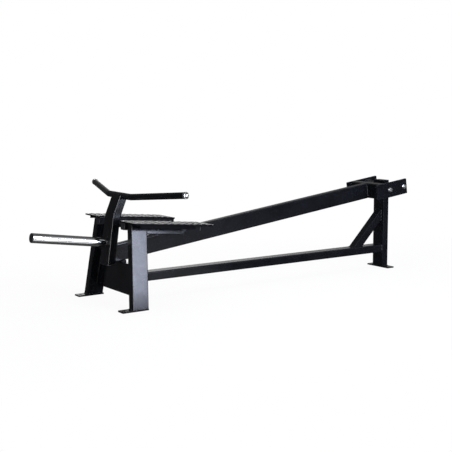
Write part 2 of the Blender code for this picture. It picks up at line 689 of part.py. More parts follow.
def build_fasteners(zinc, lever):
    """Flanged hex bolt and nut at both ears of both bearing units."""
    head_seat = YOKE_HALF_WIDTH + GAP
    nut_seat = PLATE_INNER - FLANGE_THICKNESS - 2 * GAP
    tip = nut_seat - NUT_HEIGHT - THREAD_BEYOND_NUT
    for label, side in SIDES:
        axis = Y_AXIS * side
        for spot, end in ENDS:
            ear = X_AXIS * end * BOLT_SPACING / 2
            build_bolt("bearing_bolt_" + spot + "_" + label, ear, axis, head_seat, tip, zinc, lever)
            build_nut("bearing_nut_" + spot + "_" + label, ear, axis, nut_seat, zinc, lever)


def hexagon_of_steps(across_flats, steps):
    """Hexagon with as many points as a circle, so that both can be lofted together."""
    points = []
    for i in range(steps):
        angle = math.tau * i / steps
        turn = angle % (math.pi / 3) - math.pi / 6
        reach = across_flats / 2 / math.cos(turn)
        points.append((reach * math.cos(angle), reach * math.sin(angle)))
    return points


def build_bolt(name, ear, axis, seat, tip, zinc, lever):
    steps = SMALL_STEPS
    chamfer = hexagon_of_steps(BOLT_ACROSS_FLATS - 2 * BOLT_CHAMFER, steps)
    head = hexagon_of_steps(BOLT_ACROSS_FLATS, steps)
    skirt = circle(BOLT_ACROSS_FLATS / 2 / math.cos(math.pi / 6) + GAP, steps)
    flange = circle(BOLT_FLANGE_RADIUS, steps)
    shank = circle(BOLT_RADIUS, steps)
    top = seat + BOLT_HEAD_HEIGHT
    stations = ((chamfer, top), (head, top - BOLT_CHAMFER), (head, seat + BOLT_FLANGE_RISE),
                (skirt, seat + BOLT_FLANGE_RISE), (flange, seat + BOLT_FLANGE_EDGE), (flange, seat),
                (shank, seat), (shank, tip))
    loops = [placed(outline, ear + axis * distance, X_AXIS, Z_AXIS) for outline, distance in stations]
    loft(name, loops, zinc, lever)


def build_nut(name, ear, axis, seat, zinc, lever):
    outer = hexagon_of_steps(BOLT_ACROSS_FLATS, SMALL_STEPS)
    bore = circle(BOLT_RADIUS + GAP, SMALL_STEPS)
    low = seat - NUT_HEIGHT
    stations = ((outer, seat), (outer, low), (bore, low), (bore, seat))
    loops = [placed(outline, ear + axis * distance, X_AXIS, Z_AXIS) for outline, distance in stations]
    loft(name, loops, zinc, lever, ring=True)


def build_yoke(coat, lever):
    """Cross tube at the lever's rear end, with a side plate on each of its ends."""
    middle = -(YOKE_TUBE_FRONT + YOKE_TUBE_REAR) / 2
    half = PLATE_INNER - GAP
    path = [Vector((middle, -half, 0.0)), Vector((middle, half, 0.0))]
    box_tube("yoke_cross_tube", path, (Y_AXIS, Y_AXIS), Z_AXIS, coat, lever)
    outline = rounded_rectangle(PLATE_LENGTH, PLATE_HEIGHT, PLATE_CORNER)
    centre_x = PLATE_TAIL - PLATE_LENGTH / 2
    for label, side in SIDES:
        face = YOKE_HALF_WIDTH if side > 0 else -PLATE_INNER
        origin = Vector((centre_x, face, 0.0))
        plate = slab("yoke_plate_" + label, outline, origin, X_AXIS, Z_AXIS, PLATE_THICKNESS, coat, lever)
        for spot, end in ENDS:
            hole = Vector((end * BOLT_SPACING / 2, face, 0.0))
            name = "plate_hole_cutter_" + spot + "_" + label
            drill(plate, name, hole, Y_AXIS, BOLT_HOLE_RADIUS, 2 * PLATE_THICKNESS)


def upright_points():
    """Centreline of the upright: its foot, its bend and the handlebar's centre, with the cut planes."""
    low_run = Vector((math.sin(UPRIGHT_LEAN), 0.0, math.cos(UPRIGHT_LEAN)))
    full_lean = UPRIGHT_LEAN + UPRIGHT_BEND
    high_run = Vector((math.sin(full_lean), 0.0, math.cos(full_lean)))
    rear_to_middle = TUBE_NARROW / 2 / math.cos(UPRIGHT_LEAN)
    foot_x = -LEVER_REACH - rear_to_middle - LEVER_HALF * math.tan(UPRIGHT_LEAN)
    foot = Vector((foot_x, 0.0, -LEVER_HALF))
    bend = foot + low_run * UPRIGHT_LOWER
    head = bend + high_run * UPRIGHT_UPPER
    return foot, bend, head, low_run, high_run


def build_lever(coat, plastic, lever):
    foot, bend, head, low_run, high_run = upright_points()
    rear_face = Vector((math.cos(UPRIGHT_LEAN), 0.0, -math.sin(UPRIGHT_LEAN)))
    start = Vector((-LEVER_REACH + GAP, 0.0, 0.0))
    end = Vector((-YOKE_TUBE_FRONT - GAP, 0.0, 0.0))
    box_tube("lever_tube", [start, end], (rear_face, X_AXIS), Z_AXIS, coat, lever)
    crown = head - high_run * SADDLE_DROP
    mitre = (low_run + high_run).normalized()
    upright = box_tube("upright", [foot, bend, crown], (Z_AXIS, mitre, high_run), Y_AXIS, coat, lever)
    reach = TUBE_WIDE
    saddle_profile = [(-reach, BAR_RADIUS + GAP), (reach, BAR_RADIUS + GAP)]
    combine(upright, turned("saddle_cutter", saddle_profile, head, Y_AXIS, None, lever), "DIFFERENCE")
    tube_plug("upright_plug", foot, -low_run, Y_AXIS, plastic, lever, -Z_AXIS)


def filleted(corners, radius):
    """Corner points with each inner corner replaced by an arc."""
    points = [corners[0]]
    for before, corner, after in zip(corners, corners[1:], corners[2:]):
        inward = (before - corner).normalized()
        outward = (after - corner).normalized()
        half = inward.angle(outward) / 2
        setback = radius / math.tan(half)
        bisector = (inward + outward).normalized()
        hub = corner + bisector * (radius / math.sin(half))
        spoke = corner + inward * setback - hub
        swing = math.pi - 2 * half
        turn_axis = spoke.cross(corner + outward * setback - hub).normalized()
        for i in range(BEND_STEPS + 1):
            points.append(hub + Matrix.Rotation(swing * i / BEND_STEPS, 3, turn_axis) @ spoke)
    points.append(corners[-1])
    return points


def bar_corners():
    """Handlebar's corner points from the near end to the far end, about the upright's head."""
    _, _, head, _, _ = upright_points()
    corners = []
    for side, spread in ((-1, BAR_ARM_SPREAD), (-1, 0.0), (1, 0.0), (1, BAR_ARM_SPREAD)):
        share = spread / BAR_ARM_SPREAD
        offset = Vector((BAR_ARM_SWEEP * share, side * (BAR_MIDDLE_HALF + spread), BAR_ARM_RISE * share))
        corners.append(head + offset)
    return corners


def build_handlebar(coat, chrome, zinc, lever):
    corners = bar_corners()
    path = filleted(corners, BAR_BEND_RADIUS)
    runs = [(b - a).normalized() for a, b in zip(path, path[1:])]
    normals = [runs[0]]
    normals += [(a + b).normalized() for a, b in zip(runs, runs[1:])]
    normals.append(runs[-1])
    outer = tube_loops(circle(BAR_RADIUS, BAR_STEPS), path, normals, Z_AXIS)
    inner = tube_loops(circle(BAR_RADIUS - BAR_WALL, BAR_STEPS), path, normals, Z_AXIS)
    loft("handlebar", outer + inner[::-1], coat, lever, ring=True)
    for label, end, outward in (("near", path[0], -runs[0]), ("far", path[-1], runs[-1])):
        build_bar_cap(label, end, outward, chrome, zinc, lever)


def build_bar_cap(label, end, outward, chrome, zinc, lever):
    """Turned end cap that plugs into the bar, held by a socket screw in its middle."""
    hole = CAP_SCREW_RADIUS + GAP
    spigot = BAR_RADIUS - BAR_WALL - GAP
    top = BAR_CAP_LENGTH
    profile = [(-BAR_CAP_SPIGOT, hole), (-BAR_CAP_SPIGOT, spigot), (GAP, spigot), (GAP, BAR_CAP_RADIUS),
               (top - BAR_CAP_CHAMFER, BAR_CAP_RADIUS), (top, BAR_CAP_RADIUS - BAR_CAP_CHAMFER), (top, hole)]
    name = "handlebar_cap_" + label
    turned(name, profile, end, outward, chrome, lever, ring=True, steps=BAR_STEPS)
    seat = top + GAP
    crown = seat + CAP_SCREW_HEAD_HEIGHT
    shank = CAP_SCREW_RADIUS
    head = CAP_SCREW_HEAD_RADIUS
    profile = [(seat - CAP_SCREW_LENGTH, shank), (seat, shank), (seat, head),
               (seat + CAP_SCREW_RIM, head), (crown, CAP_SCREW_CROWN_RADIUS),
               (crown, CAP_SCREW_SOCKET), (seat + CAP_SCREW_SOCKET_FLOOR, CAP_SCREW_SOCKET)]
    turned("cap_screw_" + label, profile, end, outward, zinc, lever, steps=SMALL_STEPS)


def build_sleeve(chrome, plastic, lever):
    """Chromed weight sleeve, square to the lower upright, with an end plug."""
    foot, _, _, low_run, _ = upright_points()
    outward = Vector((-math.cos(UPRIGHT_LEAN), 0.0, math.sin(UPRIGHT_LEAN)))
    front_foot = foot + outward * (TUBE_NARROW / 2)
    climb = (SLEEVE_HEIGHT - front_foot.z) / low_run.z
    root = front_foot + low_run * climb + outward * GAP
    bore = SLEEVE_RADIUS - SLEEVE_WALL
    profile = [(0.0, bore), (0.0, SLEEVE_RADIUS), (SLEEVE_LENGTH, SLEEVE_RADIUS), (SLEEVE_LENGTH, bore)]
    turned("weight_sleeve", profile, root, outward, chrome, lever, ring=True)
    seat = SLEEVE_LENGTH + GAP
    top = seat + SLEEVE_PLUG_FLANGE
    spigot = bore - GAP
    profile = [(seat - PLUG_DEPTH, spigot), (seat, spigot), (seat, SLEEVE_RADIUS),
               (top - SLEEVE_PLUG_CHAMFER, SLEEVE_RADIUS), (top, SLEEVE_RADIUS - SLEEVE_PLUG_CHAMFER)]
    turned("sleeve_plug", profile, root, outward, plastic, lever)


def centre_on_origin(base):
    """Slide the machine along X until the middle of its overall length is at the origin."""
    bpy.context.view_layer.update()
    pieces = [item for item in bpy.data.objects if item.type == "MESH" and not item.hide_render]
    stations = [(piece.matrix_world @ vertex.co).x for piece in pieces for vertex in piece.data.vertices]
    base.location.x = -(min(stations) + max(stations)) / 2


def main():
    clear_scene()
    coat = finish_material("black_powder_coat", (0.012, 0.012, 0.015), 0.0, 0.42)
    tread = finish_material("black_tread_coat", (0.022, 0.022, 0.026), 0.0, 0.40)
    chrome = finish_material("polished_chrome", (0.80, 0.80, 0.81), 1.0, 0.08)
    steel = finish_material("ground_steel", (0.45, 0.45, 0.46), 1.0, 0.28)
    zinc = finish_material("zinc_plating", (0.62, 0.63, 0.65), 1.0, 0.30)
    cast = finish_material("painted_cast_iron", (0.015, 0.016, 0.018), 0.0, 0.55)
    rubber = finish_material("black_rubber", (0.010, 0.010, 0.010), 0.0, 0.85)
    plastic = finish_material("black_plastic", (0.014, 0.014, 0.015), 0.0, 0.50)
    base = empty_frame("base_frame", (0.0, 0.0, 0.0))
    frame = empty_frame("front_frame", (-LEG_STATION, 0.0, 0.0), FRAME_LEAN, base)
    lever = empty_frame("lever_pivot", (0.0, 0.0, PIVOT_HEIGHT), -REST_TILT, base)
    build_legs(coat, frame)
    build_front_feet(coat, base)
    build_cross_tube(coat, rubber, frame)
    build_platforms(tread, coat, plastic, frame)
    build_base(coat, plastic, base)
    build_shaft(steel, base)
    build_bearings(cast, steel, lever, base)
    build_fasteners(zinc, lever)
    build_yoke(coat, lever)
    build_lever(coat, plastic, lever)
    build_handlebar(coat, chrome, zinc, lever)
    build_sleeve(chrome, plastic, lever)
    centre_on_origin(base)


main()
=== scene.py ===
# %% [markdown]
# # Dressing a T-bar row machine
# This notebook gives the pieces their finishes, and adds what a fabricator leaves behind: eased
# edges, weld beads, the raised pattern of the foot plates, and the turned ends of the handlebar.

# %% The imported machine
import json
import math

import bmesh
import bpy
from mathutils import Matrix, Vector


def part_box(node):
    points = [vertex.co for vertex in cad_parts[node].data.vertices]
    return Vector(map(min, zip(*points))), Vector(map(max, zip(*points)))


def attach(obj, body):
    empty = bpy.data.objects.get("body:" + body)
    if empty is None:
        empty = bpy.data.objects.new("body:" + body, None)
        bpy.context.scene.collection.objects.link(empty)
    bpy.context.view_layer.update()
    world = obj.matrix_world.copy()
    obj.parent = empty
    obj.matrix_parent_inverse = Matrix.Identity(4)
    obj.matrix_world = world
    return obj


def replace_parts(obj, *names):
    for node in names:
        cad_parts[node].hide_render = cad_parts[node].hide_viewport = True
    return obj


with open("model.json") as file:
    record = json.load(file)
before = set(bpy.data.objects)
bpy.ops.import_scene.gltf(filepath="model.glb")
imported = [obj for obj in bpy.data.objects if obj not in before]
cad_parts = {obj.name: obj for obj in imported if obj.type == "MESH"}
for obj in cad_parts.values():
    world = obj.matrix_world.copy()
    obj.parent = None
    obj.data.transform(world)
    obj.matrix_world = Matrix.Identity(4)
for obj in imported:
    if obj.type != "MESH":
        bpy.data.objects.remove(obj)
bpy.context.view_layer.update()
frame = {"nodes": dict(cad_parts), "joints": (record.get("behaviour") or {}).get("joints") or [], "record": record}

nodes = frame["nodes"]
print("pieces of the frame:", len(nodes))

# %% [markdown]
# ## Places on the machine
# Three parts of the machine have axes of their own: the front frame leans back by 5 degrees, the
# lever rests 7.4 degrees below level, and the sleeve stands square to the upright. A point is
# easiest to find in the axes of the part it sits on, so two small functions turn such a point into
# the shared frame. Lengths are in metres.

# %% Axes of the front frame and of the lever
MM = 0.001
X_AXIS = Vector((1.0, 0.0, 0.0))
Y_AXIS = Vector((0.0, 1.0, 0.0))
Z_AXIS = Vector((0.0, 0.0, 1.0))
PIVOT = Vector(frame["joints"][0]["pos_m"])
FRAME_LEAN = math.radians(5.0)
REST_TILT = math.radians(7.4)
LEVER_REACH = 1.9198
LEG_BEHIND_UPRIGHT = 0.0262
LEG_STATION = LEVER_REACH - LEG_BEHIND_UPRIGHT
FRAME_TURN = Matrix.Rotation(FRAME_LEAN, 3, "Y")
LEVER_TURN = Matrix.Rotation(-REST_TILT, 3, "Y")
SIDES = (("near", -1), ("far", 1))


def on_frame(x, y, z):
    """Point given in the leaning front frame."""
    return Vector((PIVOT.x - LEG_STATION, 0.0, 0.0)) + FRAME_TURN @ Vector((x, y, z))


def on_lever(x, y, z):
    """Point given from the pivot axis along the lever, the lever being at rest."""
    return PIVOT + LEVER_TURN @ Vector((x, y, z))


print("pivot axis at", [round(value, 4) for value in PIVOT])

# %% [markdown]
# ## Tubes and the upright
# Post, legs, lever, yoke and upright are cut from one rectangular tube. The upright's foot is cut
# flush with the lever's underside. From there it leans back, and above its bend it leans back more,
# up to the middle of the handlebar. Its points are worked out in the lever's axes.

# %% Sizes of the tubes, and points of the upright
GAP = 0.3 * MM
TUBE_WIDE = 0.093
TUBE_NARROW = 0.045
TUBE_CORNER = 6.0 * MM
SQUARE_SIDE = 0.040
SQUARE_CORNER = 4.0 * MM
LEVER_HALF = TUBE_WIDE / 2
UPRIGHT_LEAN = math.radians(15.4)
UPRIGHT_BEND = math.radians(14.6)
UPRIGHT_LOWER = 0.2486
UPRIGHT_UPPER = 0.1145


def leaning(angle):
    """Direction upwards that leans back by an angle."""
    return Vector((math.sin(angle), 0.0, math.cos(angle)))


LOWER_RUN = leaning(UPRIGHT_LEAN)
UPPER_RUN = leaning(UPRIGHT_LEAN + UPRIGHT_BEND)
UPRIGHT_FRONT = Vector((-math.cos(UPRIGHT_LEAN), 0.0, math.sin(UPRIGHT_LEAN)))
FOOT_X = -LEVER_REACH - TUBE_NARROW / 2 / math.cos(UPRIGHT_LEAN) - LEVER_HALF * math.tan(UPRIGHT_LEAN)
UPRIGHT_FOOT = Vector((FOOT_X, 0.0, -LEVER_HALF))
UPRIGHT_HEAD = UPRIGHT_FOOT + LOWER_RUN * UPRIGHT_LOWER + UPPER_RUN * UPRIGHT_UPPER
print("the bar's middle is %.4f m before the pivot and %.4f m above it, along the lever"
      % (-UPRIGHT_HEAD.x, UPRIGHT_HEAD.z))

# %% [markdown]
# ## Colours and nodes
# Colours are picked in the sRGB hex values that a picture editor shows, while shaders count in
# linear light, so one function turns the first into the second. A second small function adds a
# node with its settings and links, which keeps each finish readable from top to bottom.

# %% Helpers for finishes
# Sockets of a colour Mix node: the two colours, and its result
MIX_LOW, MIX_HIGH, MIX_RESULT = 6, 7, 2


def paint(code):
    """Linear colour with alpha from an sRGB hex code."""
    values = []
    for start in (0, 2, 4):
        value = int(code[start:start + 2], 16) / 255
        values.append(value / 12.92 if value <= 0.04045 else ((value + 0.055) / 1.055) ** 2.4)
    return (*values, 1.0)


def add(tree, kind, inputs=None, **settings):
    """Adds a node: settings are its own options, and each input gets a value or another's output."""
    node = tree.nodes.new("ShaderNode" + kind)
    for name, value in settings.items():
        setattr(node, name, value)
    for socket, value in (inputs or {}).items():
        if isinstance(value, bpy.types.NodeSocket):
            tree.links.new(value, node.inputs[socket])
        else:
            node.inputs[socket].default_value = value
    return node


def new_finish(name, inputs):
    """Material with its output, its shader, and the piece's own coordinates in metres."""
    material = bpy.data.materials.new(name)
    material.use_nodes = True
    tree = material.node_tree
    tree.nodes.clear()
    shader = add(tree, "BsdfPrincipled", inputs)
    add(tree, "OutputMaterial", {"Surface": shader.outputs["BSDF"]})
    place = add(tree, "TexCoord").outputs["Object"]
    FINISH[name] = material
    return tree, shader, place


def grain(tree, place, size_mm, detail=3.0):
    """Grey noise with blotches about size_mm across."""
    node = add(tree, "TexNoise", {"Vector": place, "Scale": 1.0 / (size_mm * MM), "Detail": detail})
    return node.outputs["Fac"]


def spread(tree, value, low, high, to_low=0.0, to_high=1.0):
    """Stretches a grey value from one range to another, and clips it there."""
    inputs = {"Value": value, "From Min": low, "From Max": high, "To Min": to_low, "To Max": to_high}
    return add(tree, "MapRange", inputs).outputs["Result"]


def blended(tree, share, low, high):
    """Colour between two, by a grey value."""
    inputs = {"Factor": share, MIX_LOW: low, MIX_HIGH: high}
    return add(tree, "Mix", inputs, data_type="RGBA").outputs[MIX_RESULT]


def edge_mask(tree, place, radius_mm, patch_mm):
    """White along edges, broken up in patches: where handling and shipping rub a finish first."""
    rounded = add(tree, "Bevel", {"Radius": radius_mm * MM}, samples=4).outputs["Normal"]
    flat = add(tree, "NewGeometry").outputs["Normal"]
    match = add(tree, "VectorMath", {0: rounded, 1: flat}, operation="DOT_PRODUCT").outputs["Value"]
    edge = spread(tree, match, 0.995, 0.90)
    patches = spread(tree, grain(tree, place, patch_mm, 4.0), 0.50, 0.62)
    return add(tree, "Math", {0: edge, 1: patches}, operation="MULTIPLY").outputs["Value"]


def relief(tree, shader, height, depth_mm, strength):
    """Bump from a grey height."""
    bump = add(tree, "Bump", {"Height": height, "Distance": depth_mm * MM, "Strength": strength})
    tree.links.new(bump.outputs["Normal"], shader.inputs["Normal"])


FINISH = {}
print("mid grey 808080 in linear light:", round(paint("808080")[0], 3))

# %% [markdown]
# ## Black powder coat
# The welded steel is sprayed with dry polyester powder and baked. The melted skin is a satin black
# plastic, about 0.08 mm thick, with a soft orange-peel ripple about 2 mm wide and a slight
# cold cast in the light. Polyester has an index near 1.5. A lower specular level than usual keeps
# faces seen straight on as deep as in the photograph, while faces seen at a flat angle still turn
# pale. The ripple is drawn 4 mm wide, about twice its real width, so that it can show.

# %% Finish: black powder coat
tree, shader, place = new_finish("black_powder_coat", {"IOR": 1.5, "Specular IOR Level": 0.18})
cloud = spread(tree, grain(tree, place, 90.0), 0.35, 0.65)
skin_colour = blended(tree, cloud, paint("0b0c0e"), paint("101114"))
rubbed = edge_mask(tree, place, 2.5, 14.0)
tree.links.new(blended(tree, rubbed, skin_colour, paint("303238")), shader.inputs["Base Color"])
gloss = spread(tree, grain(tree, place, 30.0), 0.3, 0.7, 0.14, 0.19)
tree.links.new(gloss, shader.inputs["Roughness"])
relief(tree, shader, grain(tree, place, 4.0, 2.0), 0.12, 0.15)
print("finishes so far:", list(FINISH))

# %% [markdown]
# ## Coated chequer plate
# The two foot plates are chequer plate under the same coat. Shoes polish the tops of the raised
# lozenges first, so their colour is lifted and their gloss is higher than in the hollows, where
# dust dulls the coat. The height above the sheet tells tops and hollows apart. Faces that don't look
# up, the plates' edges and the angle bars below them, get painted shade: a deeper black and less
# gloss, so that each platform ends in a dark line. The direction that a face looks in tells them apart.

# %% Finish: tread plate
SHEET_TOP = 0.4425
LUG_HEIGHT = 1.5 * MM
tread_normal = FRAME_TURN @ Z_AXIS
sheet_level = on_frame(0.0, 0.0, SHEET_TOP).dot(tread_normal)
tree, shader, place = new_finish("black_tread_coat", {"IOR": 1.5})
height = add(tree, "VectorMath", {0: place, 1: tread_normal}, operation="DOT_PRODUCT").outputs["Value"]
polished = spread(tree, height, sheet_level + 0.5 * LUG_HEIGHT, sheet_level + LUG_HEIGHT)
dusty = spread(tree, grain(tree, place, 45.0, 5.0), 0.35, 0.7)
hollow = blended(tree, dusty, paint("0e0f12"), paint("17181b"))
facing = add(tree, "NewGeometry").outputs["Normal"]
upward = add(tree, "VectorMath", {0: facing, 1: tread_normal}, operation="DOT_PRODUCT").outputs["Value"]
tops = blended(tree, polished, hollow, paint("2a2c30"))
# Painted shade: faces that look sideways or down get 08080a and a low specular level, a dark line under each
# platform's edge
coat_colour_painted_shade = blended(tree, spread(tree, upward, 0.3, 0.7), paint("08080a"), tops)
tree.links.new(coat_colour_painted_shade, shader.inputs["Base Color"])
tree.links.new(spread(tree, polished, 0.0, 1.0, 0.22, 0.10), shader.inputs["Roughness"])
tree.links.new(spread(tree, upward, 0.3, 0.7, 0.03, 0.26), shader.inputs["Specular IOR Level"])
relief(tree, shader, grain(tree, place, 2.0, 3.0), 0.10, 0.10)
print("sheet level along its normal: %.4f m" % sheet_level)

# %% [markdown]
# ## Chrome plating
# The weight sleeve and the bar's end caps are ground, polished and plated with chromium over
# nickel. Chromium reflects a little over half of the light, and slightly more blue than red. The
# grinding leaves faint rings around the piece, which the plating follows. Sliding plates leave
# dull smudges.

# %% Finish: polished chrome
tree, shader, place = new_finish("polished_chrome", {"Metallic": 1.0})
smudge = spread(tree, grain(tree, place, 35.0, 4.0), 0.45, 0.75)
tree.links.new(blended(tree, smudge, paint("cccdcf"), paint("bdbec0")), shader.inputs["Base Color"])
tree.links.new(spread(tree, smudge, 0.0, 1.0, 0.09, 0.20), shader.inputs["Roughness"])
# Grinding rings are 0.1 mm apart in truth, and a few millimetres here
rings = add(tree, "TexWave", {"Vector": place, "Scale": 1.0 / (1.5 * MM) / math.tau, "Distortion": 2.0})
relief(tree, shader, rings.outputs["Fac"], 0.01, 0.15)
print("chromium in linear light:", [round(value, 2) for value in paint("cccdcf")[:3]])

# %% [markdown]
# ## Bearing steel and zinc
# The shaft, spacers and bearing rings are hardened and ground, and wear nothing but oil: a mid
# grey metal with fine lines. The bolts are zinc plated and passivated, which gives a lighter and
# colder metal with faint clouds, and tiny crystals that scatter the gloss.

# %% Finishes: ground steel and zinc plating
tree, shader, place = new_finish("ground_steel", {"Metallic": 1.0})
oil = spread(tree, grain(tree, place, 12.0, 4.0), 0.35, 0.65)
tree.links.new(blended(tree, oil, paint("b2b3b6"), paint("95969a")), shader.inputs["Base Color"])
tree.links.new(spread(tree, oil, 0.0, 1.0, 0.22, 0.34), shader.inputs["Roughness"])
# Grinding lines run around the shaft, so they are stacked along Y, a millimetre or two apart
# in place of 0.05 mm
lines = add(tree, "TexWave", {"Vector": place, "Scale": 1.0 / (0.8 * MM) / math.tau, "Distortion": 1.0},
            bands_direction="Y")
relief(tree, shader, lines.outputs["Fac"], 0.01, 0.2)

tree, shader, place = new_finish("zinc_plating", {"Metallic": 1.0})
clouds = spread(tree, grain(tree, place, 6.0, 3.0), 0.35, 0.7)
tree.links.new(blended(tree, clouds, paint("dcdfe3"), paint("c6c8c4")), shader.inputs["Base Color"])
tree.links.new(spread(tree, clouds, 0.0, 1.0, 0.24, 0.36), shader.inputs["Roughness"])
relief(tree, shader, grain(tree, place, 0.8, 2.0), 0.02, 0.3)
print("finishes so far:", list(FINISH))

# %% [markdown]
# ## Castings, rubber and plugs
# The bearing housings are cast in sand, so their skin is pebbled at the size of the sand grains,
# under a coat of black enamel. The lever's rest is a moulded rubber block, nearly without gloss.
# The plugs in the open tube ends are injection moulded in polyethylene, with the fine grain that
# spark erosion leaves in the mould.

# %% Finishes: cast iron, rubber and plastic
tree, shader, place = new_finish("painted_cast_iron", {"IOR": 1.5, "Specular IOR Level": 0.4})
pebbles = grain(tree, place, 1.6, 2.0)
tree.links.new(blended(tree, pebbles, paint("141518"), paint("202226")), shader.inputs["Base Color"])
tree.links.new(spread(tree, pebbles, 0.3, 0.7, 0.40, 0.52), shader.inputs["Roughness"])
relief(tree, shader, pebbles, 0.25, 0.6)

tree, shader, place = new_finish("black_rubber", {"IOR": 1.52, "Specular IOR Level": 0.3})
bloom = spread(tree, grain(tree, place, 9.0, 5.0), 0.4, 0.7)
tree.links.new(blended(tree, bloom, paint("141414"), paint("222221")), shader.inputs["Base Color"])
tree.links.new(spread(tree, bloom, 0.0, 1.0, 0.72, 0.88), shader.inputs["Roughness"])
relief(tree, shader, grain(tree, place, 0.7, 2.0), 0.05, 0.4)

tree, shader, place = new_finish("black_plastic", {"IOR": 1.51, "Specular IOR Level": 0.4})
scuffs = spread(tree, grain(tree, place, 8.0, 6.0), 0.5, 0.8)
tree.links.new(blended(tree, scuffs, paint("1e1e20"), paint("303034")), shader.inputs["Base Color"])
tree.links.new(spread(tree, scuffs, 0.0, 1.0, 0.40, 0.58), shader.inputs["Roughness"])
relief(tree, shader, grain(tree, place, 0.6, 2.0), 0.04, 0.4)
print("finishes:", len(FINISH))

# %% [markdown]
# ## Making a piece
# Most pieces are a row of outlines skinned into one closed solid, either capped at both ends or
# joined into a ring. Turned pieces are the same thing with circles. The piece then gets its finish
# and rides on one of the machine's two bodies.

# %% Helpers for solids
ROUND_STEPS = 64


def skin(bm, rings, looped=False):
    """Faces between neighbouring rings, with caps at both ends or the last joined to the first."""
    rows = [[bm.verts.new(point) for point in ring] for ring in rings]
    follow = rows[1:] + rows[:1] if looped else rows[1:]
    count = len(rows[0])
    for low, high in zip(rows, follow):
        for i in range(count):
            j = (i + 1) % count
            bm.faces.new((low[i], low[j], high[j], high[i]))
    if not looped:
        bm.faces.new(rows[0])
        bm.faces.new(rows[-1])


def piece_of(name, bm, slot, body, crease=35.0):
    """Object from a bmesh, with smooth shading below the crease angle."""
    bmesh.ops.recalc_face_normals(bm, faces=bm.faces)
    mesh = bpy.data.meshes.new(name)
    bm.to_mesh(mesh)
    bm.free()
    mesh.shade_smooth()
    mesh.set_sharp_from_angle(angle=math.radians(crease))
    mesh.materials.append(FINISH[slot])
    piece = bpy.data.objects.new(name, mesh)
    bpy.context.scene.collection.objects.link(piece)
    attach(piece, body)
    return piece


def circle_at(centre, axis, radius, steps=ROUND_STEPS):
    """Ring of points around an axis."""
    across = axis.orthogonal().normalized()
    along = axis.cross(across)
    turns = [math.tau * i / steps for i in range(steps)]
    return [centre + radius * (across * math.cos(a) + along * math.sin(a)) for a in turns]


def turned(bm, profile, centre, axis, looped=False, steps=ROUND_STEPS):
    """Solid of revolution from (distance along the axis, radius) pairs."""
    skin(bm, [circle_at(centre + axis * run, axis, radius, steps) for run, radius in profile], looped)


print("helpers ready")

# %% [markdown]
# ## Easing the edges
# Sheared plate, sawn tube and castings all lose their sharp corners to a grinder and to the coat,
# and that narrow round edge is what catches the light. A copy of each frame piece gets its flat
# faces merged and a small Bevel on every sharp edge, apart from the pieces that are made anew
# further down. Normals weighted by area keep the flats flat.

# %% Eased copies of the frame's pieces
SLOT_OF = {part["node"]: part["material_slot"] for part in frame["record"]["subparts"]}
BODY_OF = {name: body for body, names in frame["record"]["behaviour"]["bodies"].items() for name in names}
# Radius of the eased edge in millimetres, by the start of the piece's name
EASE = (("bearing_housing", 1.6), ("bearing_bolt", 0.5), ("bearing_nut", 0.5), ("bearing_", 0.3),
        ("tread_", 0.0), ("handlebar", 0.0), ("weight_sleeve", 0.0), ("sleeve_plug", 0.0),
        ("cap_screw", 0.0), ("rest_pad", 1.5), ("rail_plug", 1.0), ("post_cap", 1.0),
        ("upright_plug", 1.0), ("pivot_shaft", 0.6), ("shaft_spacer", 0.6), ("yoke_plate", 1.2),
        ("front_foot", 1.2), ("rear_foot", 1.2), ("", 0.9))
MERGE = 0.01 * MM


def ease_of(name):
    """Radius of a piece's eased edges in millimetres."""
    return next(size for start, size in EASE if name.startswith(start))


def weigh_normals(piece):
    """Lets large faces rule the shading normals, so that flats stay flat beside round edges."""
    flats = piece.modifiers.new("flat flats", "WEIGHTED_NORMAL")
    flats.keep_sharp = True
    flats.weight = 100


def eased(name):
    """Copy of a frame piece with its flats merged and its sharp edges rounded."""
    bm = bmesh.new()
    bm.from_mesh(nodes[name].data)
    bmesh.ops.remove_doubles(bm, verts=bm.verts, dist=MERGE)
    bmesh.ops.dissolve_limit(bm, angle_limit=math.radians(0.5), verts=bm.verts, edges=bm.edges)
    piece = piece_of("eased_" + name, bm, SLOT_OF[name], BODY_OF[name], 60.0)
    bevel = piece.modifiers.new("eased edges", "BEVEL")
    bevel.width = ease_of(name) * MM
    bevel.segments = 2
    bevel.limit_method = "ANGLE"
    bevel.angle_limit = math.radians(30.0)
    weigh_normals(piece)
    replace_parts(piece, name)
    return piece


eased_pieces = [eased(name) for name in sorted(nodes) if ease_of(name) > 0.0]
print("eased pieces:", len(eased_pieces))

# %% [markdown]
# ## Foot plates
# Chequer plate is rolled with raised lozenges that alternate in direction, so that a sole grips
# whichever way it slides. The sheet has a shallow lip on all four sides, over a bend with half the
# sheet's thickness as its radius, and the lip leans in a little. The frame's plain plate is
# replaced by a skinned sheet with such bends. Each lozenge is a small closed dome with a flat
# crown, sunk a little into the sheet, which keeps the mesh clean where a displacement would need
# millions of faces.

# %% Folded sheet of a foot plate
PLATE_LENGTH = 0.473
PLATE_WIDTH = 0.168
PLATE_INNER = 0.115
PLATE_FRONT = -0.065
PLATE_CORNER = 6.0 * MM
BEND = 2.5 * MM
LIP_DEPTH = 8.0 * MM
LIP_THICKNESS = 3.0 * MM
LIP_LEAN = 0.6 * MM
LIP_EASE = 0.6 * MM
LIP_START = BEND + 0.5 * MM
BEND_ARC_STEPS = 5
SHEET = 5.0 * MM
PLATE_MIDDLE = PLATE_FRONT + PLATE_LENGTH / 2


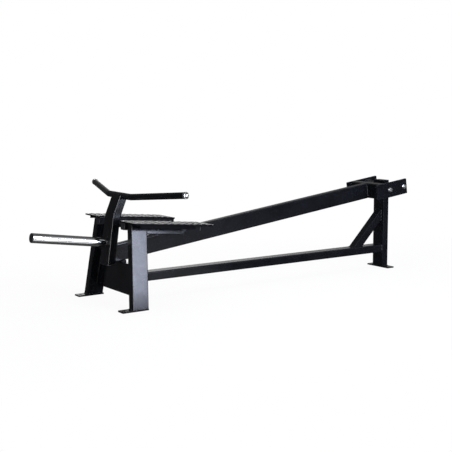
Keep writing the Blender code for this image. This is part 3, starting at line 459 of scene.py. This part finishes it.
def sheet_outline(inset, height, side):
    """Round-cornered outline of a foot plate, drawn in by inset, at a height of the front frame."""
    radius = max(PLATE_CORNER - inset, 1.5 * MM)
    half_length = PLATE_LENGTH / 2 - inset - radius
    half_width = PLATE_WIDTH / 2 - inset - radius
    middle = side * (PLATE_INNER + PLATE_WIDTH / 2)
    ring = []
    for quarter, (u, v) in enumerate(((1, 1), (-1, 1), (-1, -1), (1, -1))):
        for step in range(5):
            angle = math.pi / 2 * (quarter + step / 4)
            x = PLATE_MIDDLE + u * half_length + radius * math.cos(angle)
            y = middle + v * half_width + radius * math.sin(angle)
            ring.append(on_frame(x, y, height))
    return ring


def folded_sheet(label, side):
    """Sheet of one plate: over the bend, down the lip, round its edge and up to the underside."""
    section = []
    for step in range(BEND_ARC_STEPS + 1):
        angle = math.pi / 2 * step / BEND_ARC_STEPS
        section.append((BEND * (1 - math.sin(angle)), BEND * (1 - math.cos(angle))))
    section += [(0.05 * LIP_LEAN, LIP_START), (LIP_LEAN, LIP_DEPTH - LIP_EASE)]
    section += [(LIP_LEAN + LIP_EASE, LIP_DEPTH), (LIP_THICKNESS - LIP_EASE, LIP_DEPTH)]
    section += [(LIP_THICKNESS, LIP_DEPTH - LIP_EASE), (LIP_THICKNESS, SHEET)]
    bm = bmesh.new()
    skin(bm, [sheet_outline(inset, SHEET_TOP - depth, side) for inset, depth in section])
    piece = piece_of("foot_plate_sheet_" + label, bm, "black_tread_coat", "base")
    weigh_normals(piece)
    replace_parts(piece, "tread_plate_" + label)


for label, side in SIDES:
    folded_sheet(label, side)
print("lip depth in mm:", LIP_DEPTH / MM)

# %% Raised lozenges of the chequer plate
LUG_PITCH = 19.5 * MM
LUG_LENGTH = 25.0 * MM
LUG_WIDTH = 8.0 * MM
LUG_TURN = math.radians(45.0)
LUG_SUNK = 0.4 * MM
PLATE_MARGIN = 13.0 * MM


def lozenge(bm, x, y, turn):
    """One raised lozenge: a pointed oval that narrows towards its crown."""
    rings = []
    for share, rise in ((1.0, -LUG_SUNK), (0.98, 0.1 * LUG_HEIGHT), (0.92, 0.6 * LUG_HEIGHT),
                        (0.86, 0.92 * LUG_HEIGHT), (0.76, LUG_HEIGHT)):
        ring = []
        for step in range(16):
            angle = math.tau * step / 16
            along = share * LUG_LENGTH / 2 * math.cos(angle)
            across = share * LUG_WIDTH / 2 * math.sin(angle) * (0.55 + 0.45 * abs(math.sin(angle)))
            u = x + along * math.cos(turn) - across * math.sin(turn)
            v = y + along * math.sin(turn) + across * math.cos(turn)
            ring.append(on_frame(u, v, SHEET_TOP + rise))
        rings.append(ring)
    skin(bm, rings)


def chequer(label, side):
    """Lozenges of one plate, turned to and fro like a chessboard; says how many there are."""
    bm = bmesh.new()
    columns = int((PLATE_LENGTH - 2 * PLATE_MARGIN) / LUG_PITCH) + 1
    rows = int((PLATE_WIDTH - 2 * PLATE_MARGIN) / LUG_PITCH) + 1
    middle = side * (PLATE_INNER + PLATE_WIDTH / 2)
    for i in range(columns):
        for j in range(rows):
            x = PLATE_MIDDLE + (i - (columns - 1) / 2) * LUG_PITCH
            y = middle + (j - (rows - 1) / 2) * LUG_PITCH
            lozenge(bm, x, y, LUG_TURN if (i + j) % 2 else -LUG_TURN)
    piece_of("foot_plate_lozenges_" + label, bm, "black_tread_coat", "base")
    return columns * rows


print("lozenges on both plates:", sum(chequer(label, side) for label, side in SIDES))

# %% [markdown]
# ## Handlebar
# The bar is one round tube, 34 mm across, with two bends, one on each side of the upright's head.
# A bender with a 60 mm former leaves arcs, not corners, so the middle line is a row of corner
# points with each inner corner swapped for an arc, and a circle is carried along it. The frame's
# own bar has fewer facets, and this one replaces it.

# %% Middle line of the bar
BAR_RADIUS = 16.85 * MM
BAR_WALL = 3.0 * MM
BEND_RADIUS = 60.0 * MM
BEND_STEPS = 14
BAR_STEPS = 48
BAR_MIDDLE_HALF = 0.1205
BAR_ARM_SWEEP = 0.1033
BAR_ARM_RISE = 0.018
BAR_ARM_SPREAD = 0.361
BAR_HEAD = on_lever(*UPRIGHT_HEAD)
BAR_BEND = BAR_HEAD + Y_AXIS * BAR_MIDDLE_HALF
BAR_END = BAR_BEND + LEVER_TURN @ Vector((BAR_ARM_SWEEP, BAR_ARM_SPREAD, BAR_ARM_RISE))


def to_side(point, side):
    """Point of the far half, or its mirror image on the near side."""
    return Vector((point.x, side * point.y, point.z))


def arced(corners, radius, steps):
    """Corner points with each inner corner replaced by an arc."""
    points = [corners[0]]
    for before, corner, after in zip(corners, corners[1:], corners[2:]):
        inward = (before - corner).normalized()
        outward = (after - corner).normalized()
        half = inward.angle(outward) / 2
        hub = corner + (inward + outward).normalized() * (radius / math.sin(half))
        spoke = corner + inward * (radius / math.tan(half)) - hub
        turn_axis = spoke.cross(corner + outward - hub).normalized()
        for step in range(steps + 1):
            turn = Matrix.Rotation((math.pi - 2 * half) * step / steps, 3, turn_axis)
            points.append(hub + turn @ spoke)
    points.append(corners[-1])
    return points


bar_line = arced([to_side(BAR_END, -1), to_side(BAR_BEND, -1), BAR_BEND, BAR_END], BEND_RADIUS, BEND_STEPS)
bar_length = sum((b - a).length for a, b in zip(bar_line, bar_line[1:]))
print("length of the bar along its middle: %.3f m" % bar_length)

# %% Tube carried along the bar's middle line
def carried(line, radius):
    """Circles square to a line at each of its points."""
    turns = [math.tau * k / BAR_STEPS for k in range(BAR_STEPS)]
    rings = []
    for i, point in enumerate(line):
        before = line[max(i - 1, 0)]
        after = line[min(i + 1, len(line) - 1)]
        along = (after - before).normalized()
        across = (Z_AXIS - along * along.z).normalized()
        over = along.cross(across)
        rings.append([point + radius * (across * math.cos(a) + over * math.sin(a)) for a in turns])
    return rings


bm = bmesh.new()
outer = carried(bar_line, BAR_RADIUS)
inner = carried(bar_line, BAR_RADIUS - BAR_WALL)
skin(bm, outer + inner[::-1], looped=True)
handlebar = piece_of("bent_handlebar", bm, "black_powder_coat", "lever")
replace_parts(handlebar, "handlebar")
print("faces of the bar:", len(handlebar.data.polygons))

# %% [markdown]
# ## Ends of the bar
# Each end is stopped by a turned and chromed cap, a little wider than the tube, with rounded rims.
# A button-head screw with a hexagon socket holds it. The socket is a ring of points that runs
# around a hexagon in place of a circle, so the screw is still one skinned solid.

# %% Cap and screw
# Profiles are (distance along the axis, radius) in millimetres, here from the tube's end
CAP_PROFILE = ((-22.0, 4.4), (-22.0, 13.0), (-21.5, 13.5), (0.3, 13.5), (0.3, 17.6), (0.6, 17.9),
               (11.0, 17.9), (12.2, 17.6), (13.3, 16.8), (13.9, 15.6), (14.0, 14.3), (14.0, 10.2),
               (13.6, 9.8), (13.6, 4.4))
SCREW_PROFILE = ((-3.7, 4.0), (14.0, 4.0), (14.0, 7.2), (14.2, 7.5), (15.6, 7.3), (17.0, 6.2), (17.9, 4.6))
SOCKET_FLATS = 5.0 * MM
SOCKET_MOUTH = 18.3 * MM
SOCKET_FLOOR = 15.8 * MM


def hexagon_at(centre, axis):
    """Ring of points that runs around the screw's hexagon socket."""
    across = axis.orthogonal().normalized()
    along = axis.cross(across)
    ring = []
    for step in range(ROUND_STEPS):
        angle = math.tau * step / ROUND_STEPS
        reach = SOCKET_FLATS / 2 / math.cos(angle % (math.pi / 3) - math.pi / 6)
        ring.append(centre + reach * (across * math.cos(angle) + along * math.sin(angle)))
    return ring


for label, side in SIDES:
    end = to_side(BAR_END, side)
    outward = (end - to_side(BAR_BEND, side)).normalized()
    bm = bmesh.new()
    turned(bm, [(run * MM, radius * MM) for run, radius in CAP_PROFILE], end, outward, looped=True)
    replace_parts(piece_of("turned_cap_" + label, bm, "polished_chrome", "lever"), "handlebar_cap_" + label)
    bm = bmesh.new()
    rings = [circle_at(end + outward * run * MM, outward, radius * MM) for run, radius in SCREW_PROFILE]
    rings.append(hexagon_at(end + outward * SOCKET_MOUTH, outward))
    rings.append(hexagon_at(end + outward * SOCKET_FLOOR, outward))
    skin(bm, rings)
    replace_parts(piece_of("socket_screw_" + label, bm, "zinc_plating", "lever"), "cap_screw_" + label)
print("cap reach beyond the tube in mm:", max(run for run, _ in CAP_PROFILE))

# %% [markdown]
# ## Weight sleeve
# Weight plates slide on a chromed tube, 50 mm across, that is welded square to the upright. Its
# open end is closed by a plug. Both are turned pieces here, with a small lead-in chamfer on the
# tube and a slightly crowned plug, in place of the frame's coarser ones.

# %% Sleeve and its plug
SLEEVE_HEIGHT = 0.064
SLEEVE_RADIUS = 25.0 * MM
SLEEVE_STEPS = 96
front_foot = UPRIGHT_FOOT + UPRIGHT_FRONT * (TUBE_NARROW / 2)
SLEEVE_ROOT = on_lever(*(front_foot + LOWER_RUN * ((SLEEVE_HEIGHT - front_foot.z) / LOWER_RUN.z)))
SLEEVE_AXIS = LEVER_TURN @ UPRIGHT_FRONT
# Profiles in millimetres from the upright; each piece starts 0.3 mm past its neighbour
SLEEVE_END = 413.3
SLEEVE_PROFILE = ((0.3, 20.0), (0.3, 25.0), (SLEEVE_END - 1.2, 25.0), (SLEEVE_END - 0.35, 24.65),
                  (SLEEVE_END, 23.8), (SLEEVE_END, 20.0))
PLUG_START = SLEEVE_END + 0.3
PLUG_PROFILE = ((PLUG_START - 18.0, 19.2), (PLUG_START - 17.5, 19.7), (PLUG_START, 19.7),
                (PLUG_START, 24.3), (PLUG_START + 0.5, 24.8), (PLUG_START + 2.2, 24.8),
                (PLUG_START + 3.2, 24.2), (PLUG_START + 3.7, 22.6), (PLUG_START + 4.0, 12.0))

bm = bmesh.new()
profile = [(run * MM, radius * MM) for run, radius in SLEEVE_PROFILE]
turned(bm, profile, SLEEVE_ROOT, SLEEVE_AXIS, looped=True, steps=SLEEVE_STEPS)
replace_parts(piece_of("plated_sleeve", bm, "polished_chrome", "lever", 25.0), "weight_sleeve")
bm = bmesh.new()
profile = [(run * MM, radius * MM) for run, radius in PLUG_PROFILE]
turned(bm, profile, SLEEVE_ROOT, SLEEVE_AXIS, steps=SLEEVE_STEPS)
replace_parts(piece_of("sleeve_end_plug", bm, "black_plastic", "lever", 25.0), "sleeve_plug")
print("sleeve axis:", [round(value, 3) for value in SLEEVE_AXIS])

# %% [markdown]
# ## Weld beads
# The steel is joined by fillet welds, laid by hand. A bead fills the corner between two walls, and
# each pause of the torch leaves a ripple, like a row of fallen coins. A bead is skinned from small
# cross-sections that follow the corner, swelling and shrinking with each ripple. Real ripples are
# 2 to 3 mm apart, and these are twice as coarse so that they can show under the coat.

# %% Laying a bead along a corner
BEAD_LEG = 5.0 * MM
RIPPLE = 5.0 * MM
BEAD_STEP = RIPPLE / 4
SEARCH_STEP = 4.0 * MM
BEAD_SIDES = 6
BEAD_SUNK = 0.25 * MM
bead_metres = []


def evenly(path, looped):
    """Path of (corner point, up one wall, along the other) resampled at the bead's step."""
    path = list(path) + ([path[0]] if looped else [])
    stations = []
    travelled, due = 0.0, 0.0
    for (p, a, b), (q, c, d) in zip(path, path[1:]):
        run = (q - p).length
        while due <= travelled + run and run > 0.0:
            share = (due - travelled) / run
            stations.append((p.lerp(q, share), a.lerp(c, share).normalized(), b.lerp(d, share).normalized()))
            due += BEAD_STEP
        travelled += run
    bead_metres.append(travelled)
    return stations


def bead(bm, path, looped=False):
    """One weld bead, with tapered ends where it isn't a closed loop."""
    stations = evenly(path, looped)
    last = len(stations) - 1
    rings = []
    for i, (point, wall, floor) in enumerate(stations):
        scallop = abs(math.sin(math.pi * i * BEAD_STEP / RIPPLE))
        wander = 0.05 * math.sin(0.37 * i) + 0.03 * math.sin(1.13 * i + 1.0)
        taper = 1.0 if looped else min(1.0, 0.45 + 0.25 * min(i, last - i))
        reach = BEAD_LEG * taper * (0.90 + 0.14 * scallop + wander)
        root = point - (wall + floor) * BEAD_SUNK
        ring = [root]
        for k in range(BEAD_SIDES):
            angle = math.pi / 2 * k / (BEAD_SIDES - 1)
            flat = 1.0 - 0.16 * math.sin(2 * angle)
            ring.append(root + (floor * math.cos(angle) + wall * math.sin(angle)) * reach * flat)
        rings.append(ring)
    skin(bm, rings, looped)


def tube_corner(centre, axis, across, wide, narrow, plane, normal, corner=TUBE_CORNER):
    """Corner between a rectangular tube and the flat that it meets, all the way round."""
    along = axis.cross(across)
    path = []
    for quarter, (u, v) in enumerate(((1, 1), (-1, 1), (-1, -1), (1, -1))):
        for step in range(5):
            angle = math.pi / 2 * (quarter + step / 4)
            right, up = math.cos(angle), math.sin(angle)
            point = centre + across * (u * (wide / 2 - corner) + corner * right)
            point += along * (v * (narrow / 2 - corner) + corner * up)
            point += axis * ((plane - point).dot(normal) / axis.dot(normal))
            facing = across * right + along * up
            floor = (facing - normal * facing.dot(normal)).normalized()
            path.append((point, axis, floor))
    return path


def stretches(path, keep):
    """Parts of a closed path whose points pass a test, each as an open path."""
    dense = []
    for (p, a, b), (q, c, d) in zip(path, path[1:] + path[:1]):
        count = max(1, int((q - p).length / SEARCH_STEP))
        for i in range(count):
            share = i / count
            dense.append((p.lerp(q, share), a.lerp(c, share), b.lerp(d, share)))
    marks = [keep(spot) for spot in dense]
    if all(marks):
        return [dense]
    start = marks.index(False)
    runs, run = [], []
    for i in range(len(dense)):
        k = (start + i) % len(dense)
        if marks[k]:
            run.append(dense[k])
        elif run:
            runs.append(run)
            run = []
    if run:
        runs.append(run)
    return [run for run in runs if len(run) > 1]


def weld(name, body, paths, looped=False):
    """Beads of one joint as one piece."""
    bm = bmesh.new()
    for path in paths:
        bead(bm, path, looped)
    return piece_of("weld_" + name, bm, "black_powder_coat", body, 80.0)


print("bead step in mm: %.2f" % (BEAD_STEP / MM))

# %% Welds of the front frame
LEG_SPLAY = math.radians(9.8)
FOOT_TOP = 0.008
LEG_TOP = 0.4372
LEG_TOP_INNER = PLATE_INNER + LIP_THICKNESS + SQUARE_SIDE + 2 * GAP
LEG_TOP_SPREAD = LEG_TOP_INNER + TUBE_NARROW / 2 / math.cos(LEG_SPLAY)
# Two heights that a leg's axis is drawn through
LEG_LOW, LEG_HIGH = 0.01, 0.30
CROSS_TOP = 0.21721
CROSS_BOTTOM = 0.058
CROSS_DEPTH = 0.050


def leg_spread(height):
    """Distance of a leg's axis from the middle, at a height of the front frame."""
    return LEG_TOP_SPREAD + (LEG_TOP - height) * math.tan(LEG_SPLAY)


def lands_on(plate):
    """Test for corner points whose bead has steel under it on a flat plate of the frame."""
    low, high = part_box(plate)

    def test(spot):
        tip = spot[0] + spot[2] * BEAD_LEG * 0.6
        return low.x < tip.x < high.x and low.y < tip.y < high.y

    return test


frame_x = FRAME_TURN @ X_AXIS
for label, side in SIDES:
    low = on_frame(0.0, side * leg_spread(LEG_LOW), LEG_LOW)
    high = on_frame(0.0, side * leg_spread(LEG_HIGH), LEG_HIGH)
    axis = (high - low).normalized()
    foot = tube_corner(low, axis, frame_x, TUBE_WIDE, TUBE_NARROW, Z_AXIS * FOOT_TOP, Z_AXIS)
    weld("leg_foot_" + label, "base", stretches(foot, lands_on("front_foot_plate_" + label)))
    middle = (CROSS_TOP + CROSS_BOTTOM) / 2
    leg_normal = FRAME_TURN @ Vector((0.0, side * math.cos(LEG_SPLAY), math.sin(LEG_SPLAY)))
    inner = leg_spread(middle) - TUBE_NARROW / 2 / math.cos(LEG_SPLAY)
    plane = on_frame(0.0, side * inner, middle)
    centre = on_frame(CROSS_DEPTH / 2, 0.0, middle)
    height = CROSS_TOP - CROSS_BOTTOM
    joint = tube_corner(centre, -side * Y_AXIS, frame_x, CROSS_DEPTH, height, plane, leg_normal)
    weld("cross_tube_" + label, "base", [joint], looped=True)
print("beads laid so far: %.2f m" % sum(bead_metres))

# %% Welds of the base
BEAM_TOP = 0.1452
BEAM_WIDE = 0.074
BEAM_TALL = 0.048
POST_FACE = PIVOT.x - TUBE_NARROW / 2
BRACE_REACH = 0.1868
BRACE_SIDE = 0.050

beam_middle = Vector((0.0, 0.0, BEAM_TOP - BEAM_TALL / 2))
cross_rear = on_frame(CROSS_DEPTH, 0.0, 0.0)
joint = tube_corner(beam_middle, X_AXIS, Y_AXIS, BEAM_WIDE, BEAM_TALL, cross_rear, frame_x)
weld("beam_front", "base", [joint], looped=True)
post_plane = Vector((POST_FACE, 0.0, 0.0))
joint = tube_corner(beam_middle, -X_AXIS, Y_AXIS, BEAM_WIDE, BEAM_TALL, post_plane, X_AXIS)
weld("beam_rear", "base", [joint], looped=True)

post_middle = Vector((PIVOT.x, 0.0, 0.0))
joint = tube_corner(post_middle, Z_AXIS, Y_AXIS, TUBE_WIDE, TUBE_NARROW, Z_AXIS * FOOT_TOP, Z_AXIS)
weld("post_foot", "base", stretches(joint, lands_on("rear_foot_plate")))

brace_axis = (X_AXIS + Z_AXIS).normalized()
brace_middle = Vector((POST_FACE - BRACE_REACH, 0.0, BEAM_TOP))
brace_ends = (("low", brace_axis, Z_AXIS * BEAM_TOP, Z_AXIS), ("high", -brace_axis, post_plane, X_AXIS))
for end, axis, plane, normal in brace_ends:
    joint = tube_corner(brace_middle, axis, Y_AXIS, BRACE_SIDE, BRACE_SIDE, plane, normal, SQUARE_CORNER)
    weld("brace_" + end, "base", [joint], looped=True)

SUPPORT_DEPTH = 0.054
support_drop = (SUPPORT_DEPTH * math.cos(LEG_SPLAY) + SQUARE_SIDE * math.sin(LEG_SPLAY)) / 2
support_height = LEG_TOP - support_drop
leg_rear = on_frame(TUBE_WIDE / 2, 0.0, 0.0)
for label, side in SIDES:
    centre = on_frame(0.0, side * leg_spread(support_height), support_height)
    along_leg = FRAME_TURN @ Vector((0.0, -side * math.sin(LEG_SPLAY), math.cos(LEG_SPLAY)))
    joint = tube_corner(centre, frame_x, along_leg, SUPPORT_DEPTH, SQUARE_SIDE, leg_rear, frame_x,
                        SQUARE_CORNER)
    corner_reach = SQUARE_CORNER - SUPPORT_DEPTH / 2
    lower = stretches(joint, lambda spot: (spot[0] - centre).dot(along_leg) < corner_reach)
    weld("support_" + label, "base", lower)
print("beads laid so far: %.2f m" % sum(bead_metres))

# %% [markdown]
# ## Welds of the lever
# The upright stands on the lever's front end, the sleeve on the upright's front, and the yoke's
# two plates hang on a cross tube. The bar sits in a saddle cut into the upright's head, so that
# corner isn't flat: there the tube's outline is slid along the tube until it meets the round bar.

# %% Welds of the lever
lever_x = LEVER_TURN @ X_AXIS
lever_z = LEVER_TURN @ Z_AXIS
rear_normal = -SLEEVE_AXIS
rear_point = on_lever(*UPRIGHT_FOOT) + rear_normal * TUBE_NARROW / 2
# Any point on the lever's axis will do here
lever_middle = on_lever(-LEVER_REACH / 2, 0.0, 0.0)
joint = tube_corner(lever_middle, lever_x, lever_z, TUBE_WIDE, TUBE_NARROW, rear_point, rear_normal)
floor_of_lever = on_lever(0.0, 0.0, TUBE_CORNER - LEVER_HALF)
open_bottom = stretches(joint, lambda spot: (spot[0] - floor_of_lever).dot(lever_z) > 0.0)
weld("lever_upright", "lever", open_bottom)

YOKE_FRONT = -0.139
FLAT_HALF = LEVER_HALF - TUBE_CORNER
yoke_plane = on_lever(YOKE_FRONT, 0.0, 0.0)
joint = tube_corner(lever_middle, -lever_x, lever_z, TUBE_WIDE, TUBE_NARROW, yoke_plane, lever_x)
flats = stretches(joint, lambda spot: abs((spot[0] - yoke_plane).dot(lever_z)) < FLAT_HALF)
weld("lever_yoke", "lever", flats)

YOKE_INNER = 0.129
yoke_middle = on_lever(YOKE_FRONT + TUBE_NARROW / 2, 0.0, 0.0)
for label, side in SIDES:
    plane = Y_AXIS * side * YOKE_INNER
    joint = tube_corner(yoke_middle, -side * Y_AXIS, lever_z, TUBE_WIDE, TUBE_NARROW, plane, Y_AXIS)
    upright_runs = stretches(joint, lambda spot: abs((spot[0] - yoke_middle).dot(lever_z)) < FLAT_HALF)
    weld("yoke_" + label, "lever", upright_runs)

ring = circle_at(SLEEVE_ROOT, SLEEVE_AXIS, SLEEVE_RADIUS, SLEEVE_STEPS // 2)
weld("sleeve", "lever", [[(p, SLEEVE_AXIS, (p - SLEEVE_ROOT).normalized()) for p in ring]], looped=True)

# %% Weld of the bar in its saddle
high_run = LEVER_TURN @ UPPER_RUN
saddle = []
for point, _, facing in tube_corner(BAR_HEAD, -high_run, Y_AXIS, TUBE_WIDE, TUBE_NARROW, BAR_HEAD, high_run):
    offset = point - BAR_HEAD
    across = offset - Y_AXIS * offset.y
    drop = math.sqrt(max(BAR_RADIUS ** 2 - across.length_squared, 0.0))
    contact = point - high_run * drop
    round_out = (across - high_run * drop).normalized()
    floor = (facing - round_out * facing.dot(round_out)).normalized()
    saddle.append((contact, -high_run, floor))
deepest = max((BAR_HEAD - point).dot(high_run) for point, _, _ in saddle)
print("deepest point of the saddle in mm: %.1f" % (deepest / MM))
weld("handlebar", "lever", [saddle], looped=True)
print("all beads: %.2f m" % sum(bead_metres))

# %% [markdown]
# ## Floor and backdrop
# The photograph stands on pure white. A wide white floor would do, but it would never be evenly
# white, so rays from the camera, and mirrored and transmitted ones, see a strength of exactly 1,
# and all other rays see an ordinary pale floor. Near the machine a share of the ordinary floor is
# kept, so that its soft contact shadow stays.

# %% White floor with a contact shadow
FLOOR_SIZE = 30.0
FLOOR_DROP = 0.2 * MM
SHADOW_SHARE = 0.06


def seen_directly(tree):
    """1 for rays from the camera, off gloss or through glass, and 0 for the light's own rays."""
    path = add(tree, "LightPath").outputs
    seen = path["Is Camera Ray"]
    for kind in ("Is Glossy Ray", "Is Transmission Ray"):
        seen = add(tree, "Math", {0: path[kind], 1: seen}, operation="MAXIMUM").outputs["Value"]
    return seen


floor_mesh = bpy.data.meshes.new("studio_floor")
half = FLOOR_SIZE / 2
corners = [(-half, -half, -FLOOR_DROP), (half, -half, -FLOOR_DROP), (half, half, -FLOOR_DROP),
           (-half, half, -FLOOR_DROP)]
floor_mesh.from_pydata(corners, [], [(0, 1, 2, 3)])
floor = bpy.data.objects.new("studio_floor", floor_mesh)
bpy.context.scene.collection.objects.link(floor)

material = bpy.data.materials.new("pale_studio_floor")
material.use_nodes = True
tree = material.node_tree
tree.nodes.clear()
pale = add(tree, "BsdfDiffuse", {"Color": paint("e4e4e6")}).outputs["BSDF"]
white = add(tree, "Emission", {"Color": paint("ffffff"), "Strength": 1.0}).outputs["Emission"]
place = add(tree, "TexCoord").outputs["Object"]
stretched = add(tree, "VectorMath", {0: place, 1: (0.6, 1.0, 1.0)}, operation="MULTIPLY").outputs["Vector"]
distance = add(tree, "VectorMath", {0: stretched}, operation="LENGTH").outputs["Value"]
keep = spread(tree, distance, 0.7, 1.7, 1.0 - SHADOW_SHARE, 1.0)
backdrop = add(tree, "MixShader", {0: keep, 1: pale, 2: white}).outputs["Shader"]
surface = add(tree, "MixShader", {0: seen_directly(tree), 1: pale, 2: backdrop}).outputs["Shader"]
add(tree, "OutputMaterial", {"Surface": surface})
floor_mesh.materials.append(material)
print("share of the ordinary floor near the machine:", SHADOW_SHARE)

# %% White room
AMBIENT = 0.55
world = bpy.data.worlds.new("white_room")
bpy.context.scene.world = world
world.use_nodes = True
tree = world.node_tree
tree.nodes.clear()
dim = add(tree, "Background", {"Color": paint("f2f5ff"), "Strength": AMBIENT}).outputs["Background"]
white = add(tree, "Background", {"Color": paint("ffffff"), "Strength": 1.0}).outputs["Background"]
room = add(tree, "MixShader", {0: seen_directly(tree), 1: dim, 2: white}).outputs["Shader"]
add(tree, "OutputWorld", {"Surface": room})
print("light from the room:", AMBIENT)

# %% [markdown]
# ## Lamps and cards
# The photograph shows one cold softbox low on the near side: its mirror image fills the near leg's
# splayed face and runs along the sleeve as a white stripe, yet misses the upright faces. A second,
# wide one overhead only lights. Around the machine stand and lie cards that only reflections see,
# like the cloths and boards of a studio. Some fade from pale to dark along the machine, and each
# long face mirrors one of them: so the lever falls from grey to black, and the beam keeps a pale
# top. Dark cards give the chrome its dark edges, and a narrow bright one draws thin lines of light
# on the round corners of the tubes.

# %% Softboxes
def softbox(name, centre, target, wide, tall, radiance, colour, mirrored):
    """Area lamp whose face has the given radiance, where 1 is white paper in plain light."""
    lamp = bpy.data.lights.new(name, "AREA")
    lamp.shape = "RECTANGLE"
    lamp.size = wide
    lamp.size_y = tall
    lamp.energy = radiance * math.pi * wide * tall
    lamp.color = paint(colour)[:3]
    box = bpy.data.objects.new(name, lamp)
    box.location = centre
    box.rotation_euler = (Vector(target) - Vector(centre)).to_track_quat("-Z", "Y").to_euler()
    box.visible_camera = False
    box.visible_glossy = mirrored
    bpy.context.scene.collection.objects.link(box)
    return lamp.energy


low_watts = softbox("low_softbox", (0.42, -3.2, 0.92), (-0.7, -0.2, 0.3), 1.35, 1.15, 33.0, "dfe6ff", True)
top_watts = softbox("top_softbox", (0.0, 0.0, 2.6), (0.0, 0.0, 0.0), 3.0, 1.8, 2.0, "ffffff", False)
print("watts of the softboxes: %.0f and %.0f" % (low_watts, top_watts))

# %% Cards seen only in reflections
ROOM_LEFT, ROOM_RIGHT = -6.0, 14.0
ROOM_NEAR, ROOM_FAR = -6.0, 8.0
CARD_FOOT, CARD_TOP = -0.1, 2.9
# Level of the lying cards and of the strip card's foot, just above the floor's face
FLOOR_LEVEL = -FLOOR_DROP / 2


def card(name, corners, start, end, start_x=ROOM_LEFT, end_x=ROOM_RIGHT):
    """Glowing sheet that only reflections see, its grey running from start to end along X."""
    mesh = bpy.data.meshes.new(name)
    mesh.from_pydata(corners, [], [(0, 1, 2, 3)])
    material = bpy.data.materials.new(name)
    material.use_nodes = True
    tree = material.node_tree
    tree.nodes.clear()
    place = add(tree, "TexCoord").outputs["Object"]
    station = add(tree, "SeparateXYZ", {"Vector": place}).outputs["X"]
    grey = spread(tree, station, start_x, end_x, start, end)
    glow = add(tree, "Emission", {"Color": paint("ffffff"), "Strength": grey})
    add(tree, "OutputMaterial", {"Surface": glow.outputs["Emission"]})
    mesh.materials.append(material)
    sheet = bpy.data.objects.new(name, mesh)
    sheet.visible_camera = False
    sheet.visible_diffuse = False
    sheet.visible_shadow = False
    sheet.visible_transmission = False
    bpy.context.scene.collection.objects.link(sheet)


def standing(x0, y0, x1, y1, z0, z1):
    """Corners of an upright card."""
    return [(x0, y0, z0), (x1, y1, z0), (x1, y1, z1), (x0, y0, z1)]


def lying(x0, x1, y0, y1, z):
    """Corners of a level card."""
    return [(x0, y0, z), (x1, y0, z), (x1, y1, z), (x0, y1, z)]


card("ceiling_card", lying(ROOM_LEFT, ROOM_RIGHT, -1.6, ROOM_FAR, CARD_TOP), 0.15, 0.15)
card("far_left_card", standing(ROOM_LEFT, ROOM_FAR, 1.5, ROOM_FAR, CARD_FOOT, CARD_TOP), 0.09, 0.09)
card("far_wall_low_card", standing(1.5, ROOM_FAR, ROOM_RIGHT, ROOM_FAR, CARD_FOOT, 1.1), 2.60, 1.20, 3.5, 8.0)
card("far_wall_high_card", standing(1.5, ROOM_FAR, ROOM_RIGHT, ROOM_FAR, 1.1, CARD_TOP), 0.95, 0.36, 3.5, 8.0)
card("left_wall_card", standing(ROOM_LEFT, -0.5, ROOM_LEFT, ROOM_FAR, CARD_FOOT, CARD_TOP), 0.08, 0.08)
card("strip_card", standing(-1.12, -1.6, -0.87, -1.6, FLOOR_LEVEL, 1.6), 24.0, 24.0)
card("near_wall_card", standing(-2.0, -6.2, ROOM_RIGHT, -6.2, CARD_FOOT, CARD_TOP), 0.95, 0.10, 2.5, 6.5)
card("floor_white_card", lying(ROOM_LEFT, 0.2, ROOM_NEAR, -0.3, FLOOR_LEVEL), 1.05, 1.05)
card("floor_graded_card", lying(0.2, ROOM_RIGHT, ROOM_NEAR, -1.1, FLOOR_LEVEL), 0.85, 0.05, 0.3, 2.6)
card("floor_left_card", lying(ROOM_LEFT, 0.2, -0.3, ROOM_FAR, FLOOR_LEVEL), 0.09, 0.09)
card("floor_right_card", lying(0.2, ROOM_RIGHT, -1.1, ROOM_FAR, FLOOR_LEVEL), 0.09, 0.04, 0.5, 2.8)
print("cards:", sum(name.endswith("_card") for name in bpy.data.meshes.keys()))

# %% [markdown]
# ## Camera
# The camera is fitted to the photograph: it stands 34 degrees to the left of the machine's side
# and looks down by 7.5 degrees, 5.4 m from the machine's middle, with a 76 mm lens. The far end
# of the machine is drawn about a fifth smaller than the near end.

# %% Camera at the photograph's place
AZIMUTH = math.radians(-34.19)
ELEVATION = math.radians(7.53)
ROLL = math.radians(-0.21)
SENSOR = 36.0
FOCAL_PIXELS = 954.9
PICTURE = 452
CAMERA_PLACE = Vector((-3.051217, -4.4160, 1.0549))

back = Vector((math.sin(AZIMUTH) * math.cos(ELEVATION), -math.cos(AZIMUTH) * math.cos(ELEVATION),
               math.sin(ELEVATION)))
right = Z_AXIS.cross(back).normalized()
up = back.cross(right)
rolled_right = right * math.cos(ROLL) + up * math.sin(ROLL)
rolled_up = up * math.cos(ROLL) - right * math.sin(ROLL)
lens = bpy.data.cameras.new("photo_camera")
lens.sensor_width = SENSOR
lens.lens = FOCAL_PIXELS * SENSOR / PICTURE
lens.dof.use_dof = False
camera = bpy.data.objects.new("photo_camera", lens)
turn = Matrix((rolled_right, rolled_up, back)).transposed()
camera.matrix_world = Matrix.Translation(CAMERA_PLACE) @ turn.to_4x4()
bpy.context.scene.collection.objects.link(camera)
bpy.context.scene.camera = camera
bpy.context.scene.view_settings.view_transform = "Standard"
print("focal length: %.1f mm" % lens.lens)
